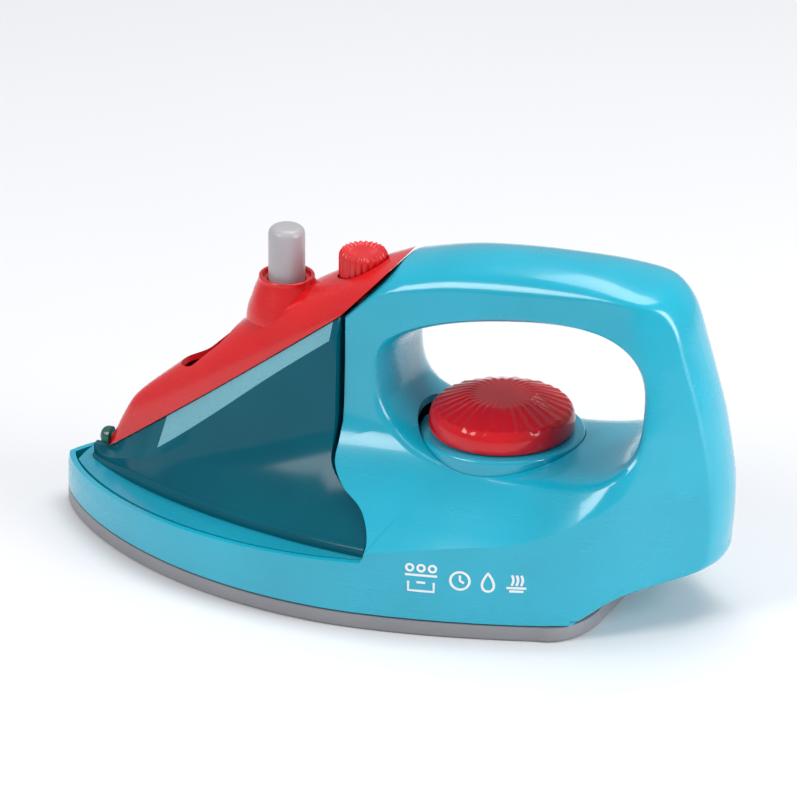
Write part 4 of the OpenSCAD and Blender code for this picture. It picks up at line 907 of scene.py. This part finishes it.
for r_share, z_share in side_shares:
    for k in range(dial_sides):
        turn = 2 * math.pi * k / dial_sides
        radius = r_share * dial_radius
        off = (turn + math.pi / facets) % (2 * math.pi / facets) - math.pi / facets
        plane = dial_top - facet_slope * (radius * math.cos(off) - 0.5 * dial_radius)
        top = min(dial_base + z_share * dial_height, plane)
        if flutes_from < r_share < flutes_to:
            top -= flute_depth * math.sin(flutes * turn / 2) ** 2
        points.append((dial_x + radius * math.cos(turn), radius * math.sin(turn), top))
inner_rows = [
    (0, shaft_end), (shaft_radius, shaft_end), (shaft_radius, dial_base),
    (shaft_radius + 0.0005, dial_base + 0.0052), (0.0105, dial_base + 0.0056),
    (0.0172, dial_base + 0.0028), (0.0176, dial_base),
]
for radius, z in inner_rows:
    for k in range(dial_sides):
        turn = 2 * math.pi * k / dial_sides
        points.append((dial_x + radius * math.cos(turn), radius * math.sin(turn), z))
rows = len(side_shares) + len(inner_rows)
for i in range(rows):
    faces += ring_faces(i, (i + 1) % rows, dial_sides)
dial_skin = piece_from("dial_skin", points, faces)
smoothed(dial_skin, 14)
dial_plastic = clear_plastic("red_clear", (0.80, 0.006, 0.014), roughness=0.1, clear=0.2, ripple=0.02)
dressed(dial_skin, "knob", dial_plastic, "dial", slot="dial_red")

# White pad-printed marks on the shell's side: a plain heat sign, a clock, a drop and a puff of steam.
# The ink is a hair thick and lies on the curved wall.
mark_z = 0.0170
mark_size = 0.0060
heat_size = 0.0095
ink_over, ink_under = 0.00009, -0.00004
ink_width = 0.00062
mark_ink = moulded_plastic(
    "white_ink", (0.82, 0.84, 0.85), gloss=0.45, depth=0.02, coat=0.0, depth_of_colour=0.02)


def printed(name, strokes, mark_x, size=mark_size, width=ink_width):
    """Strokes of ink drawn flat in shares of the mark's size, then laid on the side wall."""
    points, faces = [], []
    for stroke in strokes:
        line = [np.array(p, float) * size for p in stroke]
        closed = np.allclose(line[0], line[-1])
        first = len(points)
        for i, p in enumerate(line):
            before = line[i - 1] if i else (line[-2] if closed else p)
            after = line[i + 1] if i + 1 < len(line) else (line[1] if closed else p)
            way = after - before
            side = np.array([-way[1], way[0]]) / max(np.linalg.norm(way), 1e-9) * width / 2
            for q in (p + side, p - side):
                x, z = mark_x + q[0], mark_z + q[1]
                for out in (ink_over, ink_under):
                    points.append((x, -(body_half(x, z) + out), z))
        for i in range(len(line) - 1):
            a, b = first + 4 * i, first + 4 * (i + 1)
            faces += [(a, b, b + 2, a + 2), (a + 1, a + 3, b + 3, b + 1)]
            faces += [(a, a + 1, b + 1, b), (a + 2, b + 2, b + 3, a + 3)]
        faces += [(first, first + 2, first + 3, first + 1)]
        last = first + 4 * (len(line) - 1)
        faces += [(last, last + 1, last + 3, last + 2)]
    piece = piece_from(name, points, faces)
    dressed(piece, "housing", mark_ink)
    return piece


def arc_line(centre, radius, start, end, steps=24):
    """A stroke along an arc, with its start and end in degrees."""
    turns = [math.radians(mix(start, end, k / steps)) for k in range(steps + 1)]
    return [(centre[0] + radius * math.cos(t), centre[1] + radius * math.sin(t)) for t in turns]


clock = [arc_line((0, 0), 0.42, 0, 360), [(0, 0.26), (0, 0), (0.18, -0.1)]]
drop_line = [
    (-0.34 * math.sin(t) * math.sin(t / 2) ** 1.1, 0.44 * math.cos(t))
    for t in [2 * math.pi * k / 40 for k in range(41)]
]
steam = [
    [(x + 0.07 * math.sin(6 * y), y - 0.1) for y in [mix(0, 0.5, k / 12) for k in range(13)]]
    for x in (-0.2, 0, 0.2)
]
steam += [[(-0.42, -0.22), (0.42, -0.22)], [(-0.3, -0.38), (0.3, -0.38)]]
heat = [arc_line((x, 0.3), 0.1, 0, 360, 12) for x in (-0.32, 0, 0.32)]
heat += [
    [(-0.45, 0.08), (0.45, 0.08)],
    [(-0.36, -0.12), (-0.36, -0.4), (0.0, -0.4), (0.36, -0.4), (0.36, -0.12)],
    [(-0.12, -0.14), (0.12, -0.14)],
]
heat_x, clock_x, drop_x, steam_x = 0.1235, 0.1338, 0.1411, 0.1484
printed("mark_heat", heat, heat_x, heat_size)
printed("mark_clock", clock, clock_x)
printed("mark_drop", [drop_line], drop_x)
printed("mark_steam", steam, steam_x)


# The pieces inside and below keep their made shapes and get their own finishes: milky pump parts,
# bright springs and screws, green board, black chip, dark speaker and the cells' sleeves.
def metal(name, colour, roughness, brushed=(1, 1, 1)):
    """Bare metal with fine drawn or stamped streaks."""
    material, nodes, links, shader, place = finish_nodes(name)
    shader.inputs["Metallic"].default_value = 1
    tint = nodes.new("ShaderNodeMix")
    tint.data_type = "RGBA"
    tint.inputs["A"].default_value = (*[c * 0.88 for c in colour], 1)
    tint.inputs["B"].default_value = (*colour, 1)
    links.new(mottled(nodes, links, place, 300, 0, 1, stretch=brushed), tint.inputs["Factor"])
    links.new(tint.outputs["Result"], shader.inputs["Base Color"])
    streaks = mottled(nodes, links, place, 700, roughness - 0.06, roughness + 0.1, stretch=brushed)
    links.new(streaks, shader.inputs["Roughness"])
    bump = nodes.new("ShaderNodeBump")
    bump.inputs["Strength"].default_value = 0.05
    bump.inputs["Distance"].default_value = 0.0001
    links.new(mottled(nodes, links, place, 1500, 0, 1, stretch=brushed), bump.inputs["Height"])
    links.new(bump.outputs["Normal"], shader.inputs["Normal"])
    return material


spring_steel = metal("spring_wire", (0.62, 0.62, 0.64), 0.28)
screw_steel = metal("plated_screw", (0.58, 0.58, 0.60), 0.32)
clip_steel = metal("stamped_strip", (0.63, 0.61, 0.52), 0.3, brushed=(1, 6, 1))
seal_rubber = moulded_plastic("black_seal", (0.012, 0.012, 0.013), gloss=0.62, depth=0.2, coat=0)
milky = clear_plastic("milky_pump", (0.78, 0.84, 0.86), roughness=0.22, clear=0.55)
soft_tube = clear_plastic("soft_tube", (0.80, 0.86, 0.88), roughness=0.16, clear=0.75)
nozzle_green = moulded_plastic("green_nozzle", (0.004, 0.10, 0.07), gloss=0.3)
white_moulded = moulded_plastic("white_moulded", (0.74, 0.74, 0.71), gloss=0.42, coat=0.05)
black_moulded = moulded_plastic("black_moulded", (0.018, 0.018, 0.02), gloss=0.45, coat=0.05)
lamp_clear = clear_plastic("lamp_clear", (0.82, 0.06, 0.03), roughness=0.08, clear=0.8)
board_resist = moulded_plastic("board_resist", (0.008, 0.13, 0.035), gloss=0.3, depth=0.15, grain=420)
speaker_paper = moulded_plastic("speaker_paper", (0.03, 0.03, 0.034), gloss=0.7, depth=0.5, coat=0, grain=700)
cell_sleeve = moulded_plastic("cell_sleeve", (0.03, 0.036, 0.05), gloss=0.2, coat=0.5)
finishes = {
    "piston_seal": seal_rubber, "pump_barrel": milky, "inlet_ball": spring_steel,
    "suction_tube": soft_tube, "delivery_hose": soft_tube, "spray_nozzle": nozzle_green,
    "button_bracket": white_moulded, "tact_switch": black_moulded, "dial_clip": clip_steel,
    "detent_spring": clip_steel, "dial_lamp": lamp_clear, "main_board": board_resist,
    "sound_chip": black_moulded, "speaker": speaker_paper, "battery_box": white_moulded,
    "batteries": cell_sleeve, "battery_contacts": clip_steel, "battery_door": sole_plastic,
    "door_screw": screw_steel, "shell_screws": screw_steel, "sole_screws": screw_steel,
}
for node, finish in finishes.items():
    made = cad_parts[node]
    made.data.materials.clear()
    made.data.materials.append(finish)


# The two return springs stand on the barrel's floor and on the button's bracket. Each is wound wire.
def return_spring(node):
    """The made coil again, as a mesh of its own."""
    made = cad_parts[node]
    coil = bpy.data.objects.new(node + "_coil", made.data.copy())
    bpy.context.scene.collection.objects.link(coil)
    coil.matrix_world = made.matrix_world
    dressed(coil, "housing", spring_steel, node)
    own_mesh(coil)


return_spring("plunger_spring")
return_spring("button_spring")


# Pale plain floor, soft studio light from the left front, the right and above, and a long lens at the
# photograph's angle.
floor_mesh = bpy.data.meshes.new("floor")
floor_half = 3
floor_corners = [(x * floor_half, y * floor_half, 0) for x, y in [(-1, -1), (1, -1), (1, 1), (-1, 1)]]
floor_mesh.from_pydata(floor_corners, [], [(0, 1, 2, 3)])
floor = bpy.data.objects.new("floor", floor_mesh)
bpy.context.scene.collection.objects.link(floor)
floor_finish, nodes, links, shader, place = finish_nodes("pale_floor")
shader.inputs["Base Color"].default_value = (0.80, 0.80, 0.81, 1)
links.new(mottled(nodes, links, place, 12, 0.55, 0.62), shader.inputs["Roughness"])
floor_mesh.materials.append(floor_finish)


def soft_box(name, place, size, power, aim=(0, 0, 0.045)):
    """A soft rectangular light that looks at the iron."""
    lamp = bpy.data.lights.new(name, "AREA")
    lamp.shape, lamp.size, lamp.size_y, lamp.energy = "RECTANGLE", size[0], size[1], power
    light = bpy.data.objects.new(name, lamp)
    bpy.context.scene.collection.objects.link(light)
    light.location = place
    light.rotation_euler = (Vector(aim) - Vector(place)).to_track_quat("-Z", "Y").to_euler()


soft_box("front_left_light", (-0.55, -0.75, 0.75), (0.5, 0.5), 6)
soft_box("right_light", (0.80, -0.05, 0.36), (0.30, 0.6), 4.5)
soft_box("top_light", (0.05, 0.25, 0.95), (0.8, 0.5), 5.5)
bpy.context.scene.view_settings.view_transform = "Standard"
world = bpy.data.worlds.new("soft_room")
bpy.context.scene.world = world
world.use_nodes = True
world.node_tree.nodes["Background"].inputs["Color"].default_value = (0.93, 0.95, 1.0, 1)
world.node_tree.nodes["Background"].inputs["Strength"].default_value = 0.42

camera_data = bpy.data.cameras.new("long_lens")
camera_data.sensor_width = 36
camera_data.lens = 600
camera = bpy.data.objects.new("long_lens", camera_data)
bpy.context.scene.collection.objects.link(camera)
azimuth, elevation, distance = math.radians(23), math.radians(24.5), 3.6
level = math.cos(elevation)
back = Vector((math.sin(azimuth) * level, -math.cos(azimuth) * level, math.sin(elevation)))
aim = Vector((0.0, 0.0, 0.046))
camera.location = aim + back * distance
camera.rotation_euler = (-back).to_track_quat("-Z", "Y").to_euler()
bpy.context.scene.camera = camera
